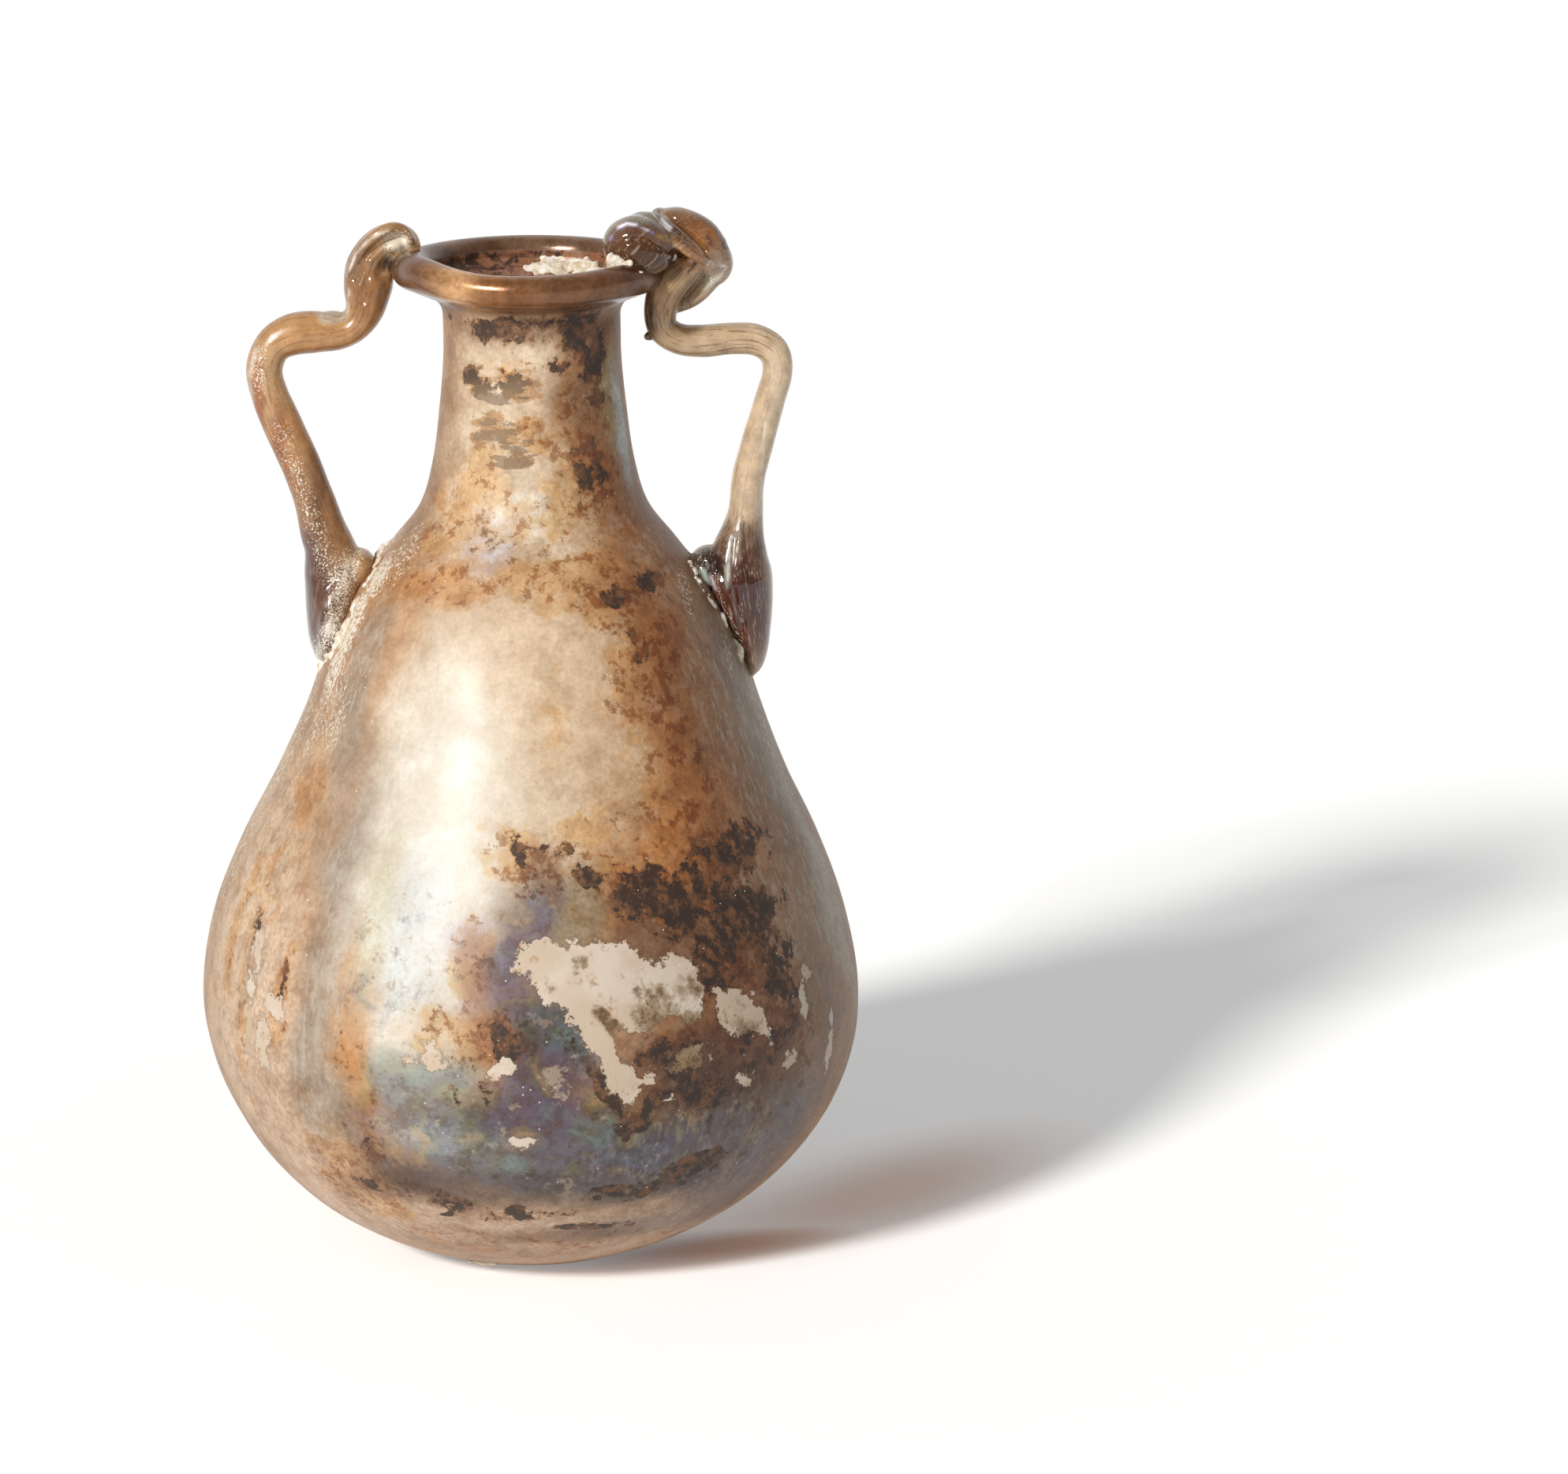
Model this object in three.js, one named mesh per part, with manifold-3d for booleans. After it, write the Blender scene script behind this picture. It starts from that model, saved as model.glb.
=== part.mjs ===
// Two-handled flask of blown glass, long buried: a pear-shaped bubble with a rolled rim,
// two trailed rod handles drawn from shoulder pads up to the rim, and bits of soil crust.
// Millimetres, +Z up, the origin at the centre of the foot, the handles along X.
import * as THREE from 'three';
import { mergeVertices } from 'three/addons/utils/BufferGeometryUtils.js';
import Module from 'manifold-3d';

const wasm = await Module();
wasm.setup();

// Vessel, blown as one bubble
const vesselHeight = 127.7;
const bodyRadius = 41.7;
const widestLevel = 33.3;
const footRadius = 13;
const kickRadius = 8;
const kickHeight = 1.1;
const wallThickness = 1.6;
const footThickness = 3;
const neckRadius = 11.1;
const neckWall = 1.7;

// Rolled rim on a short flare
const rimRadius = 17.1;
const rollRadius = 1.95;
const flareFillet = 2.4;
const flareDrop = 7.2;

// Handles, trailed from hot rods
const leftReach = 33.1;
const leftRod = 2.5;
const leftSetBack = 3.3;
const leftPadStand = 5.6;
const leftPadBreadth = 8;
const rightReach = 31.2;
const rightRod = 2;
const rightSetForward = 2.4;
const rightPadStand = 7.2;
const rightPadBreadth = 5;
const rightKnotLength = 5.9;

// Soil crust on the glass
const padCrustThickness = 1.9;
const mouthCrustLength = 7.6;
const mouthCrustBreadth = 3.8;
const mouthCrustThickness = 2;
const rimCrustLength = 4.6;
const rimCrustBreadth = 3.4;
const rimCrustThickness = 2.4;
const footFlakeLength = 4.2;
const footFlakeBreadth = 1.9;
const footFlakeThickness = 1.4;

// Clearance between glass that was laid on glass, and the weld distance of mesh corners
const seatGap = 0.3;
const weldDistance = 0.0001;

const turnSteps = 40;
const bodySteps = 28;
const rollSteps = 9;
const trailSides = 10;
const stepsPerStation = 3;
const crustSides = 6;
const lumpTurns = 14;
const lumpRings = 9;

// Arcs of the rim's section in degrees: under the flare, round the roll, down the throat
const flareSpan = [160, 100];
const rollSpan = [-75, 195];
const throatSpan = [108, 165];
const throatCutSpan = [108, 180];
const flareSteps = 3;
const throatSteps = 4;

// The most that the flare's fillet takes of the way from the neck out to the roll's middle
const filletShare = 0.62;

// Lower bowl: share of the way out from foot to belly, share of the way up to the widest level
const bowlShares = [
  [0, 0], [0.11, 0.034], [0.35, 0.124], [0.59, 0.266], [0.8, 0.47], [0.951, 0.728], [1, 1],
];

// Shoulder and neck: share of the belly's swell left, share of the rise to the neck's top
const shoulderShares = [
  [0.948, 0.118], [0.833, 0.227], [0.697, 0.327], [0.583, 0.424], [0.5, 0.507], [0.386, 0.595],
  [0.233, 0.669], [0.108, 0.727], [0.05, 0.794], [0.021, 0.869], [0.003, 0.944], [0, 1],
];

// Concave kick under the foot: share of its radius, share of its height
const kickShares = [[0, 1], [0.36, 0.87], [0.7, 0.5], [1, 0]];

// Pads: share of the pad's run up the shoulder, of its stand, of its breadth. The root is
// the pad's toe towards the neck: its half sizes are shares of the stand
const leftPadShares = [
  [0, 0.08, 0.2], [0.12, 0.34, 0.66], [0.3, 0.62, 0.96], [0.52, 0.94, 0.86], [0.76, 1.34, 0.6],
];
const rightPadShares = [
  [0, 0.14, 0.26], [0.1, 0.36, 0.62], [0.26, 0.64, 0.88], [0.5, 0.94, 1], [0.76, 1.24, 0.82],
];
const leftRootShares = { run: 0.66, proud: 0.2, half: [0.42, 0.8, 1] };
const rightRootShares = { run: 0.66, proud: 0.25, half: [0.36, 0.5, 0.8] };
const leftPadRunShares = [0.6, 0.715];
const rightPadRunShares = [0.585, 0.715];

// Rods, station by station from the pad to the rim: share of the way out from rim to elbow,
// share of the way up from pad to crest, share of the set-back, then the two half
// thicknesses, in the handle's plane and across it, as shares of the rod
const leftRodShares = [
  [0.56, 0.065, 0, 1.14, 1.3], [0.615, 0.17, 0, 1.05, 1.1], [0.719, 0.292, 0.06, 1, 1],
  [0.862, 0.43, 0.12, 1, 1], [0.969, 0.541, 0.18, 0.94, 0.96], [1, 0.62, 0.24, 0.92, 0.96],
  [0.931, 0.69, 0.3, 0.94, 0.96], [0.781, 0.728, 0.36, 1.08, 1], [0.594, 0.74, 0.45, 1.08, 1.04],
  [0.431, 0.735, 0.55, 0.84, 1.04], [0.3, 0.759, 0.64, 0.84, 1.12], [0.219, 0.812, 0.73, 1, 1.16],
  [0.187, 0.886, 0.82, 1.26, 1.16], [0.162, 0.95, 0.91, 1.26, 1.08], [0.08, 1.008, 0.97, 1.1, 0.96],
  [-0.01, 1.036, 1, 0.84, 0.8],
];
const rightRodShares = [
  [0.706, 0.06, 0, 1.22, 1.5], [0.72, 0.15, 0, 1.1, 1.2], [0.742, 0.25, 0, 1.02, 1.08],
  [0.823, 0.377, 0.08, 1.02, 1.05], [0.929, 0.517, 0.17, 0.97, 1], [1, 0.615, 0.25, 0.95, 1],
  [0.965, 0.684, 0.33, 0.97, 1], [0.816, 0.724, 0.42, 1, 1], [0.596, 0.731, 0.5, 1, 1],
  [0.333, 0.724, 0.62, 1.02, 1.05], [0.128, 0.732, 0.71, 0.97, 1.05], [-0.014, 0.769, 0.79, 0.95, 1.05],
  [-0.035, 0.833, 0.87, 1.05, 1.1], [0.028, 0.9, 0.96, 1.15, 1.15], [0.156, 0.955, 1, 1.15, 1.15],
  [0.31, 1.01, 1, 1, 1.1],
];

// Fold of the left handle over the rim: out from the roll's middle in shares of the roll,
// up from the crest in shares of the rod, then its half sizes in shares of the rod
const leftFoldShares = { out: 0.64, up: 0.56, half: [1.04, 0.98, 1.02] };

// Knot of the right handle, in shares of its length: lobe centres out from the rim's
// radius, up from the crest and forward, then half lengths and the turn about Y
const knotLobeShares = [
  { at: [0.66, 0.27, 0.22], half: [1, 0.56, 0.55], turn: 0.84 },
  { at: [-0.22, 0.6, 0.32], half: [0.66, 0.48, 0.42], turn: 0.3 },
  { at: [-0.52, 0.2, 0.5], half: [0.74, 0.52, 0.52], turn: 0.18 },
];

// Drawn-out tail under the knot: out, up and forward, then its half thickness
const knotTailShares = [
  [1.1, -0.18, 0.26, 0.28], [0.88, -0.5, 0.3, 0.26], [0.54, -0.78, 0.34, 0.23], [0.14, -1, 0.36, 0.19],
];

// Crust beside a pad: share of the pad's run, of its breadth, then its girth
const leftCrustShares = [
  [0.97, 0.24, 0.8], [0.84, 0.52, 1], [0.66, 0.76, 1],
  [0.46, 0.94, 1.05], [0.28, 1.02, 1.05], [0.08, 0.86, 0.9],
];
const rightCrustShares = [
  [0.97, 0.34, 0.8], [0.84, 0.78, 1], [0.64, 1, 1],
  [0.42, 1.04, 0.95], [0.2, 0.92, 0.85], [0.06, 0.66, 0.7],
];

// Slope of the throat under the mouth crust, and bearings of the crust round the axis
const mouthCrustSlope = 24;
const mouthCrustBearing = 13;
const rimCrustBearing = -14;
const footFlakeBearing = -112;

const glass = { metalness: 0.05, roughness: 0.35 };
const vesselGlass = new THREE.MeshStandardMaterial({ ...glass, color: 0xc9a883 });
const leftGlass = new THREE.MeshStandardMaterial({ ...glass, color: 0xb9915f });
const rightGlass = new THREE.MeshStandardMaterial({ ...glass, color: 0xa98c6c });

function crustMaterial() {
  return new THREE.MeshStandardMaterial({ color: 0xe9e2d2, metalness: 0, roughness: 0.95 });
}

// Turns a closed geometry into a solid: corners welded, slivers at the poles dropped
function toSolid(geometry) {
  const bare = new THREE.BufferGeometry();
  bare.setAttribute('position', geometry.getAttribute('position'));
  bare.setIndex(geometry.getIndex());
  const welded = mergeVertices(bare, weldDistance);
  const corners = welded.getIndex().array;
  const kept = [];
  for (let i = 0; i < corners.length; i += 3) {
    const [a, b, c] = [corners[i], corners[i + 1], corners[i + 2]];
    if (a !== b && b !== c && c !== a) kept.push(a, b, c);
  }
  const vertProperties = new Float32Array(welded.getAttribute('position').array);
  const triVerts = new Uint32Array(kept);
  return new wasm.Manifold(new wasm.Mesh({ numProp: 3, vertProperties, triVerts }));
}

function toMesh(name, solid, material) {
  const { vertProperties, triVerts } = solid.getMesh();
  const geometry = new THREE.BufferGeometry();
  geometry.setAttribute('position', new THREE.BufferAttribute(vertProperties, 3));
  geometry.setIndex(new THREE.BufferAttribute(triVerts, 1));
  geometry.computeVertexNormals();
  const mesh = new THREE.Mesh(geometry, material);
  mesh.name = name;
  return mesh;
}

function lathe(profile) {
  const geometry = new THREE.LatheGeometry(profile, turnSteps);
  geometry.rotateX(Math.PI / 2);
  return toSolid(geometry);
}

// Points on a circle of the profile plane, from one angle to another in degrees
function arc(centre, radius, [from, to], steps) {
  const points = [];
  for (let i = 0; i <= steps; i += 1) {
    const angle = THREE.MathUtils.degToRad(from + (to - from) * (i / steps));
    points.push(new THREE.Vector2(centre.x + radius * Math.cos(angle), centre.y + radius * Math.sin(angle)));
  }
  return points;
}

// Outer line of foot, belly, shoulder and neck as one smooth curve
function bodyLine() {
  const neckTop = vesselHeight - flareDrop;
  const bowl = bowlShares.map(([out, up]) => new THREE.Vector2(
    footRadius + (bodyRadius - footRadius) * out,
    widestLevel * up,
  ));
  const shoulder = shoulderShares.map(([swell, rise]) => new THREE.Vector2(
    neckRadius + (bodyRadius - neckRadius) * swell,
    widestLevel + (neckTop - widestLevel) * rise,
  ));
  const curve = new THREE.SplineCurve([...bowl, ...shoulder]);
  return curve.getPoints(bodySteps);
}

// The line moved sideways by the distance given at each point, to the left of its run
function offsetLine(line, distanceAt) {
  return line.map((point, i) => {
    const before = line[Math.max(i - 1, 0)];
    const after = line[Math.min(i + 1, line.length - 1)];
    const run = after.clone().sub(before).normalize();
    const distance = distanceAt(point);
    return new THREE.Vector2(point.x - run.y * distance, point.y + run.x * distance);
  });
}

const outerLine = bodyLine();

// Radius of the vessel's outside at a level
function wallRadiusAt(level) {
  const above = outerLine.findIndex((point) => point.y >= level);
  const upper = outerLine[Math.max(above, 1)];
  const lower = outerLine[Math.max(above, 1) - 1];
  return THREE.MathUtils.mapLinear(level, lower.y, upper.y, lower.x, upper.x);
}

const rollCentre = new THREE.Vector2(rimRadius - rollRadius, vesselHeight - rollRadius);
const fillet = Math.min(flareFillet, (rollCentre.x - neckRadius) * filletShare);
const flareCentre = new THREE.Vector2(neckRadius + fillet, vesselHeight - flareDrop);

// Glass thickens from the wall to the foot below the widest level, and again up the neck
function thicknessAt(point) {
  const low = THREE.MathUtils.clamp(1 - point.y / widestLevel, 0, 1);
  const slim = THREE.MathUtils.clamp((bodyRadius - point.x) / (bodyRadius - neckRadius), 0, 1);
  const high = point.y > widestLevel ? slim : 0;
  return wallThickness + (footThickness - wallThickness) * low ** 3 + (neckWall - wallThickness) * high;
}

function vesselSolid() {
  const kick = kickShares.map(([out, up]) => new THREE.Vector2(kickRadius * out, kickHeight * up));
  const inside = offsetLine(outerLine, thicknessAt).reverse();
  const floor = new THREE.Vector2(kickRadius, inside[inside.length - 1].y);
  const profile = [
    ...kick,
    ...outerLine,
    ...arc(flareCentre, fillet, flareSpan, flareSteps),
    ...arc(rollCentre, rollRadius, rollSpan, rollSteps),
    ...arc(flareCentre, fillet + neckWall, throatSpan, throatSteps),
    ...inside,
    floor,
    new THREE.Vector2(0, kickHeight + footThickness),
  ];
  return lathe(profile);
}

// The vessel's outside grown by the seat gap and filled, which cuts what lies on it
function outsideCutter() {
  const grown = offsetLine(outerLine, () => -seatGap);
  const profile = [
    new THREE.Vector2(0, -seatGap),
    ...grown,
    ...arc(flareCentre, fillet - seatGap, flareSpan, flareSteps),
    ...arc(rollCentre, rollRadius + seatGap, rollSpan, rollSteps),
    new THREE.Vector2(0, rollCentre.y),
  ];
  return lathe(profile);
}

// The flare and roll grown by the seat gap on both faces, which cuts crust inside the mouth
function mouthCutter() {
  const inner = fillet + neckWall + seatGap;
  const profile = [
    new THREE.Vector2(neckRadius, flareCentre.y - flareDrop),
    ...arc(flareCentre, fillet - seatGap, flareSpan, flareSteps),
    ...arc(rollCentre, rollRadius + seatGap, rollSpan, rollSteps),
    ...arc(flareCentre, inner, throatCutSpan, throatSteps),
    new THREE.Vector2(neckRadius - neckWall - seatGap, flareCentre.y - flareDrop),
  ];
  profile.push(profile[0].clone());
  return lathe(profile);
}

// Direction of a route, taken from one station before a place to one after it, so that
// the sections of a tight bend don't cross
function runOf(route, place, spans) {
  const before = route.getPoint(Math.max(place - 1 / spans, 0));
  const after = route.getPoint(Math.min(place + 1 / spans, 1));
  return after.sub(before).normalize();
}

// A trail of hot glass: rounded sections carried along a smooth route near the XZ plane.
// Each station has a centre, a half thickness in that plane and a half breadth along Y.
function trail(stations, sides, grow = 0) {
  const route = new THREE.CatmullRomCurve3(stations.map((station) => station.centre), false, 'catmullrom');
  const girth = new THREE.CatmullRomCurve3(
    stations.map((station) => new THREE.Vector3(station.thick + grow, station.broad + grow, 0)),
    false,
    'catmullrom',
  );
  const steps = (stations.length - 1) * stepsPerStation;
  const positions = [];
  for (let i = 0; i <= steps; i += 1) {
    const centre = route.getPoint(i / steps);
    const along = runOf(route, i / steps, stations.length - 1);
    const across = new THREE.Vector3(0, 1, 0).addScaledVector(along, -along.y).normalize();
    const inPlane = across.clone().cross(along);
    const size = girth.getPoint(i / steps);
    for (let side = 0; side < sides; side += 1) {
      const angle = (2 * Math.PI * side) / sides;
      const corner = centre.clone();
      corner.addScaledVector(inPlane, size.x * Math.cos(angle));
      corner.addScaledVector(across, size.y * Math.sin(angle));
      positions.push(...corner.toArray());
    }
  }
  return closeRings(positions, sides, steps);
}

// Joins rings of corners into a tube and closes both ends with a fan about their middle
function closeRings(positions, sides, steps) {
  const index = [];
  for (let i = 0; i < steps; i += 1) {
    for (let side = 0; side < sides; side += 1) {
      const next = (side + 1) % sides;
      const [a, b] = [i * sides + side, i * sides + next];
      index.push(a, b, b + sides, a, b + sides, a + sides);
    }
  }
  for (const ring of [0, steps]) {
    const middle = new THREE.Vector3();
    for (let side = 0; side < sides; side += 1) {
      middle.add(new THREE.Vector3().fromArray(positions, 3 * (ring * sides + side)));
    }
    const pole = positions.length / 3;
    positions.push(...middle.divideScalar(sides).toArray());
    for (let side = 0; side < sides; side += 1) {
      const pair = [ring * sides + side, ring * sides + ((side + 1) % sides)];
      index.push(pole, ...(ring === 0 ? pair.reverse() : pair));
    }
  }
  const geometry = new THREE.BufferGeometry();
  geometry.setAttribute('position', new THREE.Float32BufferAttribute(positions, 3));
  geometry.setIndex(index);
  return toSolid(geometry);
}

function levelAt(runShares, run) {
  return vesselHeight * THREE.MathUtils.lerp(runShares[0], runShares[1], run);
}

// Stations of a pad pressed on the shoulder, on a straight line from the wall at its tip to
// the foot of the rod: what is sunk in the wall is cut off
function padStations(shares, runShares, side, stand, breadth, rodFoot) {
  const tip = wallRadiusAt(levelAt(runShares, 0)) - wallThickness;
  return shares.map(([run, standShare, broadShare]) => {
    const level = levelAt(runShares, run);
    const out = THREE.MathUtils.lerp(tip, rodFoot, run);
    return {
      centre: new THREE.Vector3(side * out, 0, level),
      thick: wallRadiusAt(level) + stand * standShare - out,
      broad: breadth * broadShare,
    };
  });
}

// Toe of the pad towards the neck, lying along the shoulder behind the rod's foot
function padRoot({ run, proud, half }, runShares, side, stand, grow) {
  const [bottom, top] = [levelAt(runShares, 0), levelAt(runShares, 1)];
  const lean = Math.atan2(wallRadiusAt(bottom) - wallRadiusAt(top), top - bottom);
  const level = levelAt(runShares, run);
  const centre = new THREE.Vector3(side * (wallRadiusAt(level) + stand * proud), 0, level);
  const size = new THREE.Vector3(...half).multiplyScalar(stand);
  return lump(centre, size, new THREE.Euler(0, -side * lean, 0), grow);
}

function rodStations(shares, runShares, side, reach, rod, setOff) {
  const padTop = vesselHeight * runShares[1];
  return shares.map(([out, up, back, thick, broad]) => ({
    centre: new THREE.Vector3(
      side * (rimRadius + (reach - rimRadius) * out),
      setOff * back,
      padTop + (vesselHeight - padTop) * up,
    ),
    thick: rod * thick,
    broad: rod * broad,
  }));
}

const leftLimb = rodStations(leftRodShares, leftPadRunShares, -1, leftReach, leftRod, leftSetBack);
const rightLimb = rodStations(rightRodShares, rightPadRunShares, 1, rightReach, rightRod, -rightSetForward);
const leftFoot = Math.abs(leftLimb[0].centre.x);
const rightFoot = Math.abs(rightLimb[0].centre.x);
const leftStations = [
  ...padStations(leftPadShares, leftPadRunShares, -1, leftPadStand, leftPadBreadth, leftFoot),
  ...leftLimb,
];
const rightStations = [
  ...padStations(rightPadShares, rightPadRunShares, 1, rightPadStand, rightPadBreadth, rightFoot),
  ...rightLimb,
];

// A rounded lump: a unit sphere stretched to its half sizes, turned and placed
function lump(centre, half, turn, grow = 0) {
  const geometry = new THREE.SphereGeometry(1, lumpTurns, lumpRings);
  geometry.scale(half.x + grow, half.y + grow, half.z + grow);
  geometry.applyQuaternion(new THREE.Quaternion().setFromEuler(turn));
  geometry.translate(centre.x, centre.y, centre.z);
  return toSolid(geometry);
}

// Place near the right end of the rim, in shares of the knot's length
function knotPoint([out, up, forward]) {
  return new THREE.Vector3(
    rimRadius + rightKnotLength * out,
    -rightKnotLength * forward,
    vesselHeight + rightKnotLength * up,
  );
}

function knotSolids(grow) {
  const lobes = knotLobeShares.map(({ at, half, turn }) => {
    const size = new THREE.Vector3(...half).multiplyScalar(rightKnotLength);
    return lump(knotPoint(at), size, new THREE.Euler(0, turn, 0), grow);
  });
  const tail = trail(knotTailShares.map(([out, up, forward, girth]) => ({
    centre: knotPoint([out, up, forward]),
    thick: rightKnotLength * girth,
    broad: rightKnotLength * girth,
  })), trailSides, grow);
  return [...lobes, tail];
}

function leftFold(grow) {
  const { out, up, half } = leftFoldShares;
  const over = rollCentre.x + rollRadius * out;
  const centre = new THREE.Vector3(-over, leftSetBack, vesselHeight + leftRod * up);
  const size = new THREE.Vector3(...half).multiplyScalar(leftRod);
  return lump(centre, size, new THREE.Euler(), grow);
}

function uncutLeft(grow) {
  const root = padRoot(leftRootShares, leftPadRunShares, -1, leftPadStand, grow);
  return trail(leftStations, trailSides, grow).add(leftFold(grow)).add(root);
}

function uncutRight(grow) {
  const root = padRoot(rightRootShares, rightPadRunShares, 1, rightPadStand, grow);
  return [...knotSolids(grow), root].reduce(
    (whole, solid) => whole.add(solid),
    trail(rightStations, trailSides, grow),
  );
}

// Crust in the corner along a pad's front edge, from its toe down to its tip
function padCrust(shares, runShares, side, breadth) {
  const stations = shares.map(([run, across, girth]) => {
    const level = levelAt(runShares, run);
    const front = breadth * across;
    const wall = wallRadiusAt(level) + padCrustThickness / 4;
    return {
      centre: new THREE.Vector3(side * Math.sqrt(wall ** 2 - front ** 2), -front, level),
      thick: (padCrustThickness / 2) * girth,
      broad: (padCrustThickness / 2) * girth,
    };
  });
  return trail(stations, crustSides);
}

// Crust lying in the far side of the mouth on the throat's slope
function mouthCrust() {
  const slope = THREE.MathUtils.degToRad(mouthCrustSlope);
  const bearing = THREE.MathUtils.degToRad(mouthCrustBearing);
  const out = flareCentre.x - (fillet + neckWall) * Math.sin(slope);
  const level = flareCentre.y + (fillet + neckWall) * Math.cos(slope);
  const centre = new THREE.Vector3(out * Math.sin(bearing), out * Math.cos(bearing), level);
  const half = new THREE.Vector3(mouthCrustLength, mouthCrustBreadth, mouthCrustThickness).divideScalar(2);
  return lump(centre, half, new THREE.Euler(slope, 0, -bearing, 'ZYX'));
}

// Crust caught between the roll and the knot of the right handle
function rimCrust() {
  const bearing = THREE.MathUtils.degToRad(rimCrustBearing);
  const out = rollCentre.x - rollRadius;
  const level = vesselHeight - rollRadius / 2;
  const centre = new THREE.Vector3(out * Math.cos(bearing), out * Math.sin(bearing), level);
  const half = new THREE.Vector3(rimCrustBreadth, rimCrustLength, rimCrustThickness).divideScalar(2);
  return lump(centre, half, new THREE.Euler(0, 0, bearing));
}

// Flake stuck to the bowl just above the foot, at the front
function footFlake() {
  const bearing = THREE.MathUtils.degToRad(footFlakeBearing);
  const level = footFlakeThickness;
  const out = wallRadiusAt(level) + footFlakeBreadth / 4;
  const centre = new THREE.Vector3(out * Math.cos(bearing), out * Math.sin(bearing), level);
  const half = new THREE.Vector3(footFlakeBreadth, footFlakeLength, footFlakeThickness).divideScalar(2);
  return lump(centre, half, new THREE.Euler(0, 0, bearing));
}

const outside = outsideCutter();
const mouth = mouthCutter();
const leftHandle = uncutLeft(0).subtract(outside);
const rightHandle = uncutRight(0).subtract(outside);
const leftGrown = uncutLeft(seatGap);
const rightGrown = uncutRight(seatGap);
const leftPadCrust = padCrust(leftCrustShares, leftPadRunShares, -1, leftPadBreadth);
const rightPadCrust = padCrust(rightCrustShares, rightPadRunShares, 1, rightPadBreadth);

const flask = new THREE.Group();
flask.add(
  toMesh('vessel', vesselSolid(), vesselGlass),
  toMesh('left_handle', leftHandle, leftGlass),
  toMesh('right_handle', rightHandle, rightGlass),
  toMesh('left_pad_crust', leftPadCrust.subtract(outside).subtract(leftGrown), crustMaterial()),
  toMesh('right_pad_crust', rightPadCrust.subtract(outside).subtract(rightGrown), crustMaterial()),
  toMesh('mouth_crust', mouthCrust().subtract(mouth), crustMaterial()),
  toMesh('rim_crust', rimCrust().subtract(mouth).subtract(rightGrown), crustMaterial()),
  toMesh('foot_flake', footFlake().subtract(outside), crustMaterial()),
);

export default flask;
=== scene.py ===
import math

import bpy
import numpy as np
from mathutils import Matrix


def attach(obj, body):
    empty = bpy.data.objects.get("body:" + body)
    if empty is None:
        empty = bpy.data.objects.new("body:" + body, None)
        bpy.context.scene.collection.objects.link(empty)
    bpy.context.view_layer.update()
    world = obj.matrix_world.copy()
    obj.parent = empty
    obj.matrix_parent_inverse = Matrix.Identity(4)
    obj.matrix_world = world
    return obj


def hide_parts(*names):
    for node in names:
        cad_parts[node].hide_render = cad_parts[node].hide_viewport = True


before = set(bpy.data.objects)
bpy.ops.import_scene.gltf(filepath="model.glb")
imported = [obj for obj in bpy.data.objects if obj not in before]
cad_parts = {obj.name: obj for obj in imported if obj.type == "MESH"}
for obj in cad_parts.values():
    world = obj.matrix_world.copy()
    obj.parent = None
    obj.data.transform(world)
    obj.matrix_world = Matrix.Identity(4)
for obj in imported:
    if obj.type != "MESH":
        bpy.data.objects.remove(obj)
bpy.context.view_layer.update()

# The view: a long lens a little above the flask, looking slightly down on it, with the flask
# left of the middle so that its shadow has room on the right.
millimetre = 0.001
photo_width = 1988
focal_pixels = 9000
view_target = np.array([32.0, 0.0, 66.0]) * millimetre
view_distance = 0.9
view_rise = math.radians(13.8)
view_forward = np.array([0.0, math.cos(view_rise), -math.sin(view_rise)])


def placed(name, data):
    """New object of the data, put in the scene."""
    made = bpy.data.objects.new(name, data)
    bpy.context.scene.collection.objects.link(made)
    return made


lens = bpy.data.cameras.new("camera")
lens.sensor_width = 36
lens.lens = lens.sensor_width * focal_pixels / photo_width
lens.clip_start = 0.05
lens.clip_end = 20
camera = placed("camera", lens)
camera.location = view_target - view_distance * view_forward
camera.rotation_euler = (math.pi / 2 - view_rise, 0, 0)
bpy.context.scene.camera = camera
bpy.context.scene.view_settings.view_transform = "Standard"


# Floor and light: a sheet of white paper under one hard-edged studio lamp at the front left,
# with a weak white surround. The paper keeps the shadow. Beside the foot it has painted warm
# light, for light that comes through the brown glass, and a painted darker shade.
class Field:
    """A number or colour of a node graph. Sums and products of fields make its math nodes."""

    def __init__(self, socket):
        self.socket = socket
        self.graph = socket.id_data

    def beside(self, output):
        """Another output of the node that this field comes from."""
        return Field(self.socket.node.outputs[output])

    def __add__(self, other):
        return worked("ADD", self, other)

    def __sub__(self, other):
        return worked("SUBTRACT", self, other)

    def __rsub__(self, other):
        return worked("SUBTRACT", other, self)

    def __mul__(self, other):
        return worked("MULTIPLY", self, other)


def feed(node, sockets):
    """Sets inputs of a node: a field is linked to its input, a constant is written on it."""
    for key, value in sockets.items():
        if isinstance(value, Field):
            node.id_data.links.new(value.socket, node.inputs[key])
        else:
            node.inputs[key].default_value = value


def field(kind, sockets, output=0, graph=None, **settings):
    """Output of a new shader node: settings are its properties, sockets its inputs. It goes into
    the graph of the first field among its inputs if no graph is given."""
    graph = graph or next(part.graph for part in sockets.values() if isinstance(part, Field))
    made = graph.nodes.new("ShaderNode" + kind)
    for key, value in settings.items():
        setattr(made, key, value)
    feed(made, sockets)
    return Field(made.outputs[output])


def worked(operation, first, second):
    """Math node on two fields, or on a field and a number."""
    return field("Math", {0: first, 1: second}, operation=operation)


def most(first, *others):
    """Greatest of several fields or numbers."""
    for other in others:
        first = worked("MAXIMUM", first, other)
    return first


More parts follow.
